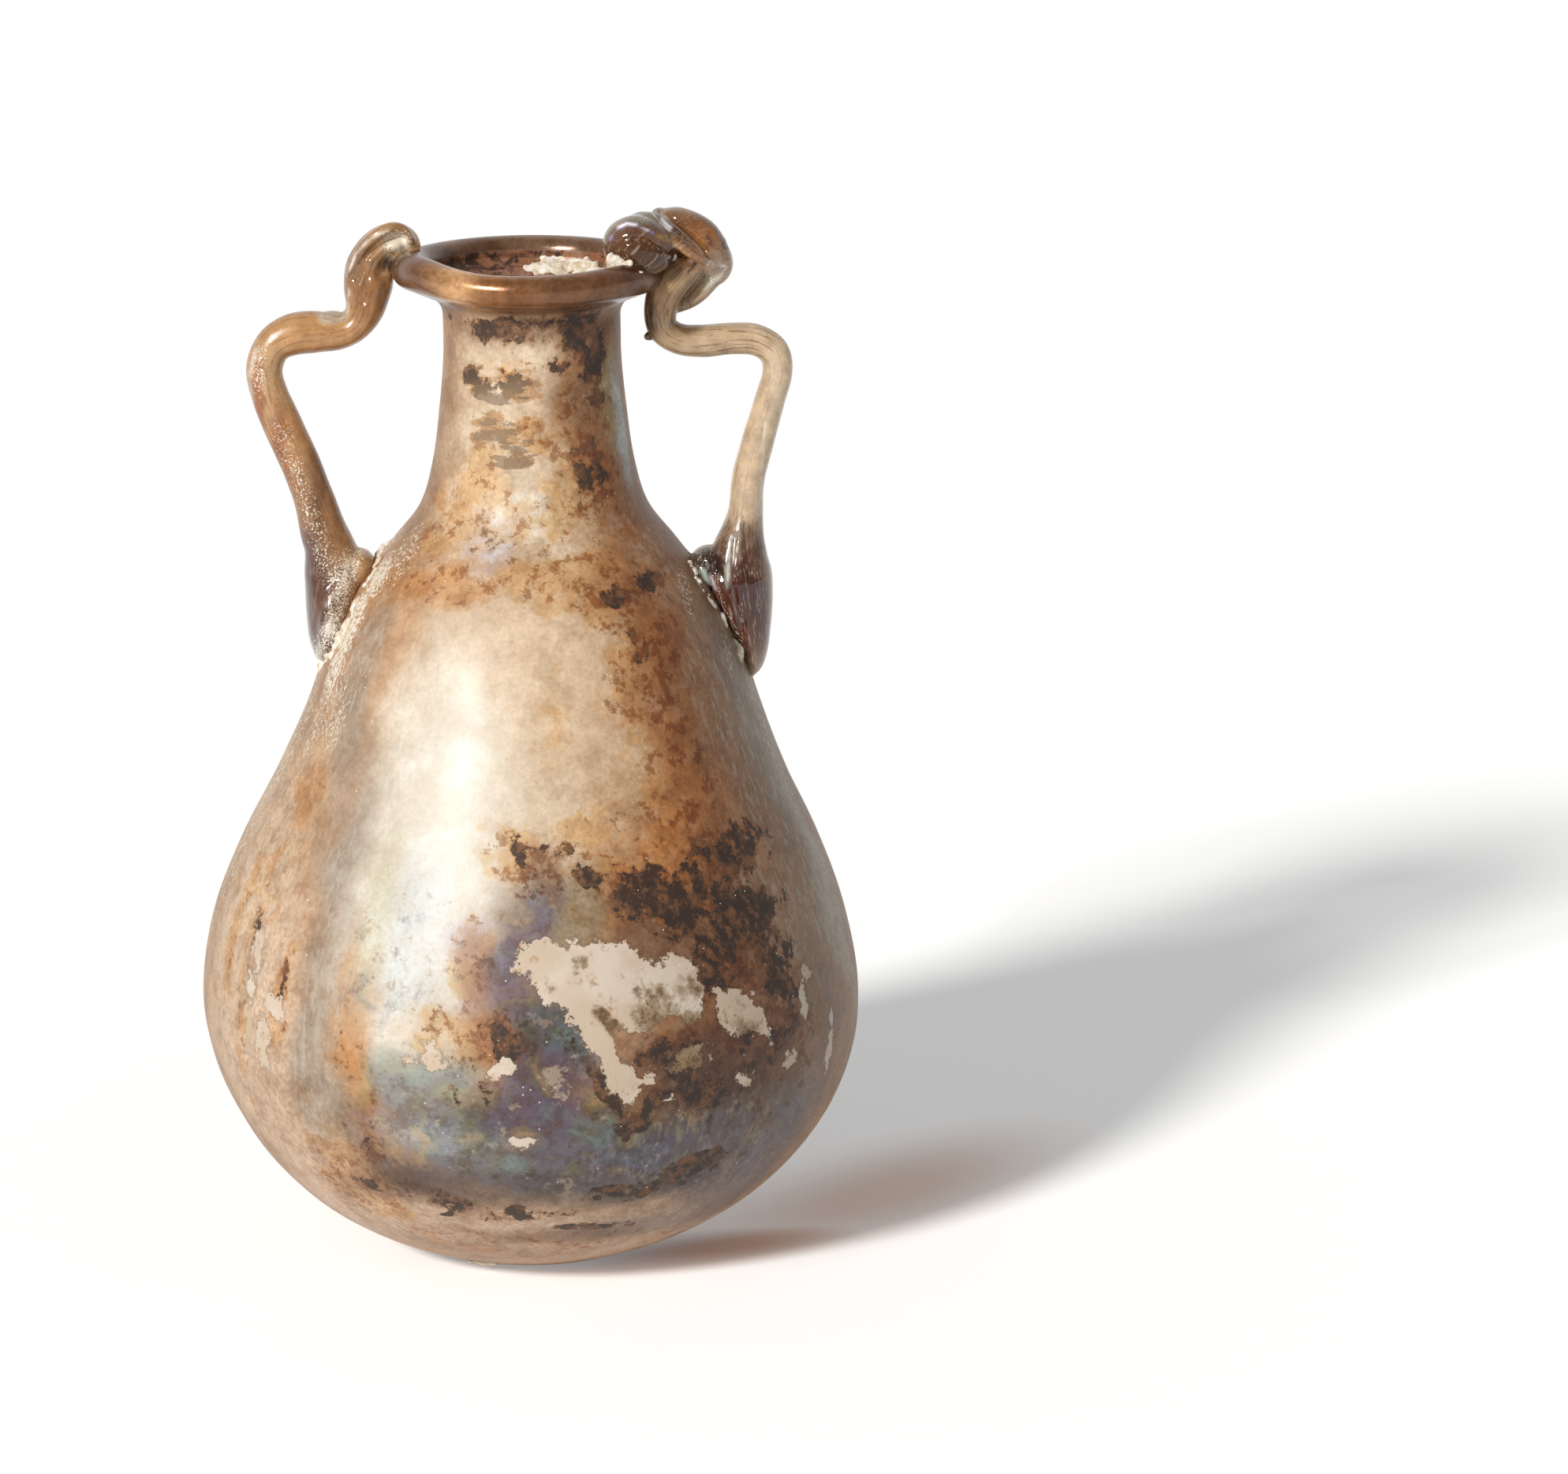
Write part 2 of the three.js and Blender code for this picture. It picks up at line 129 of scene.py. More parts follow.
def mixed(share, under, over, mode="MIX"):
    """Colour under with colour over laid on it by a share."""
    sockets = {0: share, 6: under, 7: over}
    return field("Mix", sockets, 2, data_type="RGBA", blend_type=mode)


def band(value, low, high, first=0.0, last=1.0):
    """Smooth step of a field from first to last, between low and high."""
    sockets = {0: value, 1: low, 2: high, 3: first, 4: last}
    return field("MapRange", sockets, interpolation_type="SMOOTHSTEP")


def colour_of(red, green, blue):
    """Linear colour of an sRGB one given in 0 to 255: the sRGB curve, taken on the array."""
    share = np.array([red, green, blue], float) / 255
    low = share / 12.92
    high = ((share + 0.055) / 1.055) ** 2.4
    return tuple(float(part) for part in np.where(share <= 0.04045, low, high)) + (1.0,)


def new_material(name):
    """Empty node material, the object's own coordinates in it, and its Principled shader."""
    material = bpy.data.materials.new(name)
    material.use_nodes = True
    graph = material.node_tree
    return material, field("TexCoord", {}, "Object", graph), graph.nodes["Principled BSDF"]


floor_reach = 4.0
floor_corners = [(-1, -1), (1, -1), (1, 1), (-1, 1)]
paper_white = (0.99, 0.99, 0.99, 1.0)
paper_glow = 0.282
warm_light = colour_of(250, 174, 96)
# Ellipses of painted warm light and shade: middle and half sizes in mm, turn in degrees, strength
painted_warm_light_spots = [((25, -5), (30, 10), 24, 0.72), ((46, 19), (46, 20), 51, 0.5)]

paper_mesh = bpy.data.meshes.new("paper")
paper_mesh.from_pydata(
    [(x * floor_reach, y * floor_reach, 0) for x, y in floor_corners], [], [(0, 1, 2, 3)]
)
paper = placed("paper", paper_mesh)
paper_material, paper_place, paper_shader = new_material("white_paper")
painted_warm_light_and_shade = 0.0
for warm_middle, warm_half, warm_turn, strength in painted_warm_light_spots:
    warm_place = field("Mapping", {
        0: paper_place,
        1: np.array([*warm_middle, 0]) * millimetre,
        2: (0, 0, math.radians(warm_turn)),
        3: np.array([*warm_half, 20]) * millimetre,
    }, vector_type="TEXTURE")
    away = field("VectorMath", {0: warm_place}, "Value", operation="LENGTH")
    painted_warm_light_and_shade = most(band(away, 0.1, 1.0, strength, 0.0), painted_warm_light_and_shade)

# The paper glows only where it is the background: for the camera, in gloss and through glass.
sight = field("LightPath", {}, "Is Camera Ray", paper_place.graph)
background = most(sight, sight.beside("Is Glossy Ray"), sight.beside("Is Transmission Ray"))
# The painted warm light tints the paper's colour beside the foot and cuts its glow there, which paints a
# darker shade.
feed(paper_shader, {
    "Base Color": mixed(painted_warm_light_and_shade, paper_white, warm_light),
    "Roughness": 0.9,
    "Specular IOR Level": 0.0,
    "Emission Color": (1, 1, 1, 1),
    "Emission Strength": background * paper_glow * (1.0 - painted_warm_light_and_shade),
})
paper_mesh.materials.append(paper_material)

# The room in front is darker than the backdrop, which gloss shows.
surround_level = 0.24
room_level = 0.14
backdrop_level = 1.0
backdrop_depth = 0.6
world = bpy.data.worlds.new("surround")
world.use_nodes = True
bpy.context.scene.world = world
way = field("TexCoord", {}, "Generated", world.node_tree)
depth = field("SeparateXYZ", {0: way}, "Y")
gloss_sockets = {0: depth, 1: 0.0, 2: backdrop_depth, 3: room_level, 4: backdrop_level}
sight = field("LightPath", {}, "Is Camera Ray", way.graph)
in_gloss = sight.beside("Is Glossy Ray") * field("MapRange", gloss_sockets)
feed(world.node_tree.nodes["Background"], {
    "Color": (1, 1, 1, 1),
    "Strength": most(sight, sight.beside("Is Transmission Ray"), in_gloss, surround_level),
})

lamp_bearing = math.radians(-125.5)
lamp_rise = math.radians(28)
lamp = bpy.data.lights.new("studio_lamp", "SUN")
lamp.energy = 3.4
lamp.angle = math.radians(8.5)
lamp.color = (1.0, 0.985, 0.96)
lamp_object = placed("studio_lamp", lamp)
lamp_object.rotation_euler = (math.pi / 2 - lamp_rise, 0, lamp_bearing + math.pi / 2)
lamp_object.location = (-0.5, -0.7, 0.5)


# Vessel: one gather of glass blown to a pear shape, with a tall neck and a rim rolled over
# while hot. Burial has turned its skin to thin layers: cream and tan, with brown stains,
# iridescent film and patches where the layers have flaked away.
def run_length(places):
    """Length along a row of points, from 0 at the first."""
    return np.r_[0, np.cumsum(np.linalg.norm(np.diff(places, axis=0), axis=1))]


def headings(places):
    """Direction of a row of points at each of them, of length 1."""
    along = np.gradient(places, axis=0)
    return along / np.linalg.norm(along, axis=1)[:, None]


def flowing(marks, steps):
    """Smooth run through marks, in equal steps: Catmull-Rom pieces, then evened by length.

    Between marks b and c, with neighbours a and d, the place at share t is
    b + t(c-a)/2 + t²(a - 5b/2 + 2c - d/2) + t³(3b - 3c + d - a)/2.
    """
    marks = np.asarray(marks, float)
    ends = np.vstack([2 * marks[0] - marks[1], marks, 2 * marks[-1] - marks[-2]])
    share = np.linspace(0, 1, 24, endpoint=False)[:, None, None]
    a, b, c, d = ends[:-3], ends[1:-2], ends[2:-1], ends[3:]
    pieces = b + share * (c - a) / 2 + share**2 * (a - 2.5 * b + 2 * c - d / 2)
    pieces = pieces + share**3 * (3 * b - 3 * c + d - a) / 2
    dense = np.vstack([pieces.transpose(1, 0, 2).reshape(-1, marks.shape[1]), marks[-1:]])
    length = run_length(dense[:, :3])
    even = np.linspace(0, length[-1], steps + 1)
    return np.column_stack([np.interp(even, length, column) for column in dense.T])


def arc(middle, radius, first, last, steps):
    """Points on a circle of the profile's plane from one angle to another, in degrees."""
    turn = np.radians(np.linspace(first, last, steps + 1))
    return np.column_stack([middle[0] + radius * np.cos(turn), middle[1] + radius * np.sin(turn)])


def skin(name, grid, first_pole, last_pole):
    """Closed smooth mesh of a grid of rows by columns: columns join round, and each end row is
    closed by a fan to its pole. It is turned inside out if its signed volume is negative."""
    rows, columns = grid.shape[:2]
    places = np.vstack([grid.reshape(-1, 3), [first_pole, last_pole]])
    here = np.arange(rows * columns).reshape(rows, columns)
    after = np.roll(here, -1, axis=1)
    quads = np.stack([here[:-1], after[:-1], after[1:], here[1:]], -1).reshape(-1, 4)
    foot, head = (np.full(columns, rows * columns + pole) for pole in (0, 1))
    fans = np.vstack([
        np.column_stack([foot, after[0], here[0]]), np.column_stack([head, here[-1], after[-1]])
    ])
    a, b, c = places[np.vstack([quads[:, [0, 1, 2]], quads[:, [0, 2, 3]], fans])].transpose(1, 0, 2)
    turn = -1 if np.einsum("ij,ij->i", a, np.cross(b, c)).sum() < 0 else 1
    faces = quads[:, ::turn].tolist() + fans[:, ::turn].tolist()
    mesh = bpy.data.meshes.new(name)
    mesh.from_pydata(places.tolist(), [], faces, shade_flat=False)
    return placed(name, mesh)


rim_height = 127.7
neck_top = 120.5
neck_foot = 90
belly_height = 33.3
foot_radius = 13.0
kick_radius = 8.0
kick_height = 1.1
foot_glass = 3.0
wall_glass = 1.6
neck_glass = 1.7
roll_radius = 1.95
roll_middle = (15.15, rim_height - roll_radius)
fillet_radius = 2.4
fillet_middle = (11.1 + fillet_radius, neck_top)
wall_marks = [
    (foot_radius, 0), (16.2, 1.1), (23, 4.1), (29.9, 8.8), (36, 15.6), (40.3, 24.2), (41.7, 33.3),
    (40.1, 43.5), (36.6, 53), (32.4, 61.6), (28.9, 70), (26.4, 77.2), (22.9, 84.8), (18.2, 91.2),
    (14.4, 96.2), (12.65, 102), (11.75, 108.5), (11.15, 115), (11.1, neck_top),
]
turn_steps = 300
wall_steps = 200
fillet_steps = 9
roll_steps = 34
roll_front_rows = 31
inner_fillet_steps = 10
inner_wall_step = 4
kick_rows = 8
foot_ring_rows = 4
inner_floor_rows = 6
pole_share = 0.12

wall = flowing(wall_marks, wall_steps)
along = headings(wall)
low = np.clip(1 - wall[:, 1] / belly_height, 0, 1)
glass = wall_glass + (foot_glass - wall_glass) * low**3
glass = glass + (neck_glass - wall_glass) * (wall[:, 1] > neck_foot)
inner_wall = (wall + glass[:, None] * np.column_stack([-along[:, 1], along[:, 0]]))[::-inner_wall_step]
kick_share = np.linspace(pole_share, 1, kick_rows)
kick = np.column_stack([kick_radius * kick_share, kick_height * (1 - kick_share**2)])
foot_ring_radius = np.linspace(kick_radius, foot_radius, foot_ring_rows + 2)[1:-1]
foot_ring = np.column_stack([foot_ring_radius, np.zeros(foot_ring_rows)])
floor_share = np.linspace(1, pole_share, inner_floor_rows)
inner_floor = np.column_stack([
    inner_wall[-1, 0] * floor_share,
    kick_height + foot_glass + (inner_wall[-1, 1] - kick_height - foot_glass) * floor_share**2,
])[1:]
outer_rows = np.vstack([kick, foot_ring, wall])
rim_rows = np.vstack([
    arc(fillet_middle, fillet_radius, 176, 100, fillet_steps),
    arc(roll_middle, roll_radius, -75, 195, roll_steps),
    arc(fillet_middle, fillet_radius + neck_glass, 108, 172, inner_fillet_steps),
])
profile = np.vstack([outer_rows, rim_rows, inner_wall, inner_floor])
throat_start = len(outer_rows) + fillet_steps + 1 + roll_front_rows

bearing = np.radians(np.arange(turn_steps) * 360 / turn_steps)
radius = profile[:, :1] + 0 * bearing
height = profile[:, 1:] + 0 * bearing

# Out of true as blown by hand: the axis wanders, the belly is not quite round, and the rim
# rises where each handle was pressed on and its roll swells at the left.
lean_heights = [0, 2, 6, 10, 19, 28, 32, 41, 45, 54, 60, 66, 70, 78, 95, 118, 128]
lean_offsets = [
    -0.55, -0.5, -0.4, -0.15, 0.1, -0.1, -0.3, -0.47, -0.48, -0.3, -0.15, 0.1, 0.3, 0.5, 0.6, 0.5,
    0.35,
]
flare_height = 121
flare_blend = 5
belly_top = 80


def near_bearing(middle, spread):
    """Share from 1 at a bearing down to 0 away from it, a bell curve of the turn between."""
    apart = (bearing - math.radians(middle) + math.pi) % (2 * math.pi) - math.pi
    return np.exp(-((apart / math.radians(spread)) ** 2))


rim_share = np.clip((profile[:, 1:] - flare_height) / flare_blend, 0, 1)
rim_lift = 1.0 * near_bearing(211, 26) + 0.5 * near_bearing(322, 34) + 0.12
height = height + rim_share * rim_lift
swell = rim_share * near_bearing(186, 24) * 0.16
height = height + swell * (profile[:, 1:] - roll_middle[1])
radius = radius + swell * (profile[:, :1] - roll_middle[0])
belly = np.sin(np.pi * np.clip(profile[:, 1:] / belly_top, 0, 1))
oval = 0.003 * belly * np.sin(2 * bearing + 0.9)
three_sided = 0.0015 * belly * np.sin(3 * bearing)
radius = radius * (1 + oval + three_sided)
lean = np.interp(profile[:, 1], lean_heights, lean_offsets)[:, None]
vessel_grid = np.stack([radius * np.cos(bearing) + lean, radius * np.sin(bearing), height], -1)
vessel = skin(
    "vessel_skin",
    vessel_grid * millimetre,
    np.array([0, 0, kick_height]) * millimetre,
    np.array([0, 0, kick_height + foot_glass]) * millimetre,
)
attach(vessel, "root")
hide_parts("vessel")


# The vessel's weathered skin: each stain, like each patch of painted highlight and painted edge
# shade, is an ellipse on the glass, by its bearing and height, its half width and half height in mm, its
# strength and its tilt.
# Burial stained the sides that aren't seen alike, so every ellipse has a fainter fellow on the far side,
# the painted ones too.
def lattice_noise(places, size, seed):
    """Smooth random field of -1 to 1: seeded values stand on a cubic lattice of the given
    size, and along each axis they are joined by the weight 3t² - 2t³."""
    cells = 40
    values = np.random.default_rng(seed).uniform(-1, 1, (cells, cells, cells))
    at = places / size + cells / 2
    cell = np.floor(at).astype(int)
    share = settle(at - cell)
    total = 0
    for x, y, z in np.ndindex(2, 2, 2):
        weight = np.prod(np.where([x, y, z], share, 1 - share), axis=-1)
        corner = (cell + [x, y, z]) % cells
        total = total + weight * values[corner[..., 0], corner[..., 1], corner[..., 2]]
    return total


def settle(share):
    """Share t eased to 3t² - 2t³, which is level at 0 and at 1."""
    return share * share * (3 - 2 * share)


def rising(value, start, reach):
    """Eased share from 0 at the start to 1 over a reach, which is negative on the way down."""
    return settle(np.clip((value - start) / reach, 0, 1))


profile_run = run_length(profile)
wall_rows = slice(len(outer_rows) - len(wall), len(outer_rows))
# Two wandering fields of coarse and fine noise, which draw the stains' outlines astray
wander_across, wander_up = (
    sum(lattice_noise(vessel_grid, size, size + seed) * size / 7 for size in (11, 5, 2))
    for seed in (0, 50)
)
# The fellow on the far side: its strength, the bearing that two fellows add up to, how far it
# strays from there in degrees and how much higher it stands in mm
far_strength = 0.72
far_sum = 372
far_stray = 14
far_rise = 2.5


def run_at(mark_height):
    """Way up the outer wall, in mm from the middle of the foot, at a height."""
    return np.interp(mark_height, wall[:, 1], profile_run[wall_rows])


def wall_radius(level):
    """Radius of the outer wall at a height."""
    return np.interp(level, wall[:, 1], wall[:, 0])


def blot(mark_bearing, mark_height, half_across, half_up, strength, tilt=0, soft=0.7):
    """Strength inside an ellipse on the glass and 0 outside, over a soft rim, its outline drawn
    astray by two wandering fields: d² = (across / half width)² + (up / half height)²."""
    stray = min(1.5, 0.4 * min(half_across, half_up))
    turn = math.radians(tilt)
    far_bearing = far_sum - mark_bearing + far_stray * math.sin(mark_height)
    total = 0
    for side, middle, rise, share in ((1, mark_bearing, 0, 1.0), (-1, far_bearing, far_rise, far_strength)):
        apart = (np.degrees(bearing) - middle + 180) % 360 - 180
        across = side * np.radians(apart) * profile[:, :1] + wander_across * stray
        up = profile_run[:, None] - run_at(mark_height + rise) + wander_up * stray
        distance = np.hypot(
            (across * math.cos(turn) + up * math.sin(turn)) / half_across,
            (up * math.cos(turn) - across * math.sin(turn)) / half_up,
        )
        total = np.maximum(total, share * settle(np.clip((1 - distance) / soft + 0.5, 0, 1)))
    return strength * total


def blots(marks, soft=0.7):
    """Most of several stains."""
    total = 0
    for mark in marks:
        total = np.maximum(total, blot(*mark, soft=soft))
    return total


def line_distance(spot, line):
    """Least distance from places of a plane to the straight pieces of a line."""
    line = np.asarray(line, float)
    nearest = np.full(spot.shape[:-1], np.inf)
    for first, second in zip(line, line[1:]):
        edge = second - first
        share = np.clip((spot - first) @ edge / (edge @ edge), 0, 1)
        nearest = np.minimum(nearest, np.linalg.norm(spot - first - share[..., None] * edge, axis=-1))
    return nearest


def outline_depth(corners):
    """Distance in mm to a closed outline of bearings and heights, positive inside it. Glass and
    corners are laid flat about the outline's middle, and a point is inside where a line from it
    crosses an odd number of edges."""
    corners = np.array(corners + corners[:1], float)
    middle, level = corners[:-1].mean(axis=0)
    level_radius = wall_radius(level)
    corners[:, 0] = np.radians(corners[:, 0] - middle) * level_radius
    corners[:, 1] = run_at(corners[:, 1]) - run_at(level)
    across = np.radians((np.degrees(bearing) - middle + 180) % 360 - 180) * level_radius
    across = across + 0.25 * wander_across
    up = profile_run[:, None] - run_at(level) + 0.25 * wander_up
    inside = np.zeros(up.shape, bool)
    for first, second in zip(corners, corners[1:]):
        crossed = (first[1] > up) != (second[1] > up)
        slope = (second[0] - first[0]) / ((second[1] - first[1]) or 1)
        inside ^= crossed & (across < first[0] + (up - first[1]) * slope)
    return line_distance(np.stack([across, up], -1), corners) * np.where(inside, 1, -1)


def laid(colours, share, colour):
    """Colours with an sRGB colour laid over them by a share."""
    share = share[..., None]
    return colours * (1 - share) + share * np.array(colour_of(*colour))


stain_and_painted_light_colours = {
    "tan": (178, 144, 112), "sand": (204, 180, 152), "cream": (210, 193, 170),
    "ivory": (214, 209, 198), "ochre": (184, 136, 88), "sienna": (146, 98, 60),
    "umber": (108, 76, 56), "ink": (60, 48, 48), "pewter": (144, 134, 122), "rose": (196, 174, 154),
    "gold": (182, 132, 70), "straw": (196, 190, 164), "lilac": (192, 186, 200),
    "violet": (100, 88, 112), "plum": (80, 60, 70), "mauve": (108, 90, 88), "teal": (102, 118, 118),
    "sea": (146, 156, 146), "deep_teal": (60, 74, 80), "slate": (84, 84, 90), "moss": (98, 98, 66),
    "olive": (140, 128, 104), "sky": (186, 196, 202), "leaf": (178, 170, 134),
    "brown": (98, 68, 50), "amber": (176, 116, 60), "wine": (150, 114, 96), "drab": (152, 122, 94),
    "mist": (188, 180, 170), "painted_highlight_brass": (226, 180, 130),
}
# Washes lie one over another: the colour, then the ellipse
washes = [
    # The first five washes and the drab one at 214 on the neck darken tall bands at the left and right
    # edges: painted edge shade laid over the brown staining there.
    ("drab", 196, 52, 12, 70, 0.4), ("drab", 198, 108, 4, 20, 0.7), ("drab", 345, 60, 18, 60, 0.6),
    ("umber", 345, 108, 4, 20, 0.4), ("umber", 12, 60, 18, 60, 0.3),
    ("sienna", 90, 60, 22, 30, 0.4), ("sand", 262, 104, 10, 14, 0.6),
    ("cream", 252, 101, 7, 12, 0.7), ("cream", 254, 115, 7, 7, 0.8),
    ("umber", 316, 113, 4.5, 10, 0.45), ("sienna", 322, 101, 6, 8, 0.5),
    ("leaf", 331, 110.5, 1.8, 6, 0.8), ("sky", 340, 107, 1.6, 7, 1),
    ("drab", 214, 104, 3, 16, 0.45), ("cream", 280, 94, 10, 7, 0.6),
    ("pewter", 262, 101, 1.4, 2.2, 0.4), ("cream", 246, 110, 6, 9, 0.6),
    # The ivory washes, and the sky and straw ones at 247 and 240, lie where the lamp's highlights fall on
    # the belly and the neck and brighten them: painted highlight over the pale skin.
    ("cream", 285, 100, 6, 6, 0.5), ("ivory", 240, 56, 6, 28, 0.6),
    ("umber", 270, 122.4, 14, 1.6, 0.5), ("cream", 255, 76, 12, 17, 0.8),
    ("cream", 276, 69, 12, 16, 0.8), ("sand", 285, 80, 9, 9, 0.6),
    ("ochre", 297, 66, 6, 16, 0.6, -4), ("ochre", 214, 84, 9, 9, 0.35),
    ("sienna", 314, 76, 8, 17, 0.6, -8), ("umber", 330, 70, 7, 15, 0.3),
    ("sienna", 320, 60, 6, 12, 0.45), ("pewter", 348, 60, 5, 24, 0.8),
    ("ivory", 248, 62, 9, 20, 0.95), ("sand", 262, 84, 7, 5, 0.5),
    ("ochre", 248, 90, 8.5, 3.8, 0.3, 8), ("lilac", 252, 94.6, 3.8, 4, 0.7),
    ("ivory", 262, 97, 4, 4, 0.5), ("pewter", 217, 75, 2.8, 14, 0.6), ("sand", 204, 53, 7, 16, 0.5),
    ("ochre", 212, 63, 4, 5, 0.25), ("sand", 212, 34, 10, 16, 0.6), ("rose", 214, 38, 9, 18, 0.5),
    ("pewter", 231, 46, 3, 20, 0.65), ("pewter", 226, 62, 3, 12, 0.45, 6),
    ("ivory", 250, 46, 10, 13, 0.95), ("sky", 247, 50, 5, 9, 0.5), ("straw", 240, 48, 2.4, 14, 0.6),
    ("gold", 237, 38, 1.7, 11, 0.6), ("rose", 258, 9, 30, 8, 0.8), ("sienna", 262, 6, 14, 3, 0.4),
    ("rose", 228, 20, 9, 14, 0.7), ("slate", 286, 21, 20, 6, 0.9), ("slate", 310, 24, 15, 8, 0.85),
    ("ink", 256, 17.5, 15, 3.2, 0.55, 6), ("mauve", 316, 16, 9, 9, 0.85),
    ("rose", 268, 24.5, 3, 1.1, 0.6), ("umber", 276, 9.5, 9, 2, 0.6, -4),
    ("mauve", 292, 10, 7, 3, 0.6), ("olive", 281, 52.5, 5, 4.8, 0.8),
    ("violet", 272, 53.5, 3.4, 7, 0.65, -6), ("violet", 267, 45.4, 3.4, 4.6, 0.65),
    ("lilac", 259, 50, 3, 2.4, 0.75, 20), ("lilac", 263, 43, 2, 2, 0.6),
    ("sienna", 262, 46, 2.6, 5, 0.6, 20), ("sienna", 264, 38.5, 7.5, 4.2, 0.6),
    ("sea", 252, 33, 7, 3.6, 0.7), ("cream", 254, 38.5, 5, 3, 0.7), ("gold", 241, 33, 1.8, 7, 0.6),
    ("gold", 243, 26, 1.8, 5, 0.7), ("teal", 256, 25.5, 8, 4.2, 0.9), ("sea", 254, 24, 3.4, 2, 0.7),
    ("deep_teal", 276, 40, 4, 6, 0.9, 8), ("plum", 272, 33.5, 4, 4.2, 0.9),
    ("plum", 272, 28.2, 8, 3.6, 0.9), ("moss", 283, 28.5, 3.2, 3.8, 0.8),
    ("deep_teal", 288, 25, 4, 2.5, 0.5), ("umber", 300, 33, 11, 7.5, 0.8),
    ("ink", 304, 31, 9, 6, 0.55), ("ochre", 284, 33.5, 2, 1.4, 0.5),
    ("umber", 316, 40, 9, 12, 0.75), ("umber", 308, 50, 9, 9, 0.6),
    ("umber", 296, 47, 5, 4, 0.7, -20), ("mauve", 332, 34, 6, 16, 0.6),
    ("ink", 297, 16.4, 8, 1.8, 0.8, 5), ("sea", 262, 21.5, 7, 1.4, 0.5),
    ("violet", 292, 20, 6, 2.4, 0.3), ("pewter", 231, 33, 3.4, 6, 0.5),
    ("pewter", 233, 25.5, 3.6, 5, 0.6, 25), ("umber", 240, 24, 2.6, 6, 0.55, 32),
    ("ink", 247, 18.4, 7, 2.4, 0.6, -18), ("slate", 254, 20, 7, 2.2, 0.45),
    ("sand", 246, 25.6, 2.4, 3, 0.55), ("sky", 253, 25.2, 4.4, 2.8, 0.6),
    ("sand", 222, 98, 3.4, 5, 0.5), ("sienna", 338, 92, 5, 9, 0.5), ("sienna", 320, 99, 5, 8, 0.4),
    ("sand", 286, 107, 4, 5, 0.45), ("mist", 350, 48, 4, 15, 0.6), ("ochre", 300, 58, 5, 6, 0.4),
    ("sand", 288, 73, 7, 14, 0.6), ("ochre", 241, 39, 2.6, 7, 0.35), ("pewter", 236, 31, 2, 5, 0.5),
    ("drab", 329, 40, 4, 12, 0.5), ("pewter", 266, 53.4, 2.6, 3.4, 0.4),
    ("ochre", 304, 94, 3, 5, 0.4), ("rose", 244, 12.6, 8, 2.2, 0.6),
]
rust_marks = [
    (247, 90, 9, 4.2, 0.7, 8), (300, 89, 11, 5.5, 0.85, -14), (309, 79, 6.4, 12, 0.9, -6),
    (212, 63, 4, 5, 0.35), (307, 66, 7, 15, 0.7), (264, 39, 9, 5, 0.8), (261, 47, 3.4, 6, 0.8, 20),
    (296, 54, 10, 5, 0.6), (312, 36, 13, 12, 0.9), (240, 34, 3, 5, 0.4),
    (223, 42, 1.2, 4.4, 0.95, -5), (211, 37, 1.4, 15, 0.7), (222, 36, 3, 3, 0.6),
    (230, 20, 9, 12, 0.25), (309, 103, 5, 8, 0.8), (242, 100, 5, 6, 0.6), (204, 46, 1.6, 12, 0.6),
    (243, 26, 2, 5.2, 0.45), (270, 97, 18, 6, 0.5), (272, 8, 20, 5, 0.5), (236, 17, 7, 6, 0.8),
    (294, 30, 9, 4, 0.8), (270, 58.5, 6, 4, 0.8, -30), (212, 51, 4, 6, 0.4), (296, 118, 9, 4, 0.45),
    (216, 92, 4, 8, 0.5), (272, 109, 2.1, 1.3, 0.95, 20), (279, 106.4, 1.8, 1.1, 0.9),
    (266, 95.5, 1, 2.4, 0.9, -20), (250, 104, 4, 3, 0.5), (288, 60, 9, 4, 0.5, 10),
    (316, 113, 4, 7, 0.7), (286, 73, 8, 12, 0.2),
]
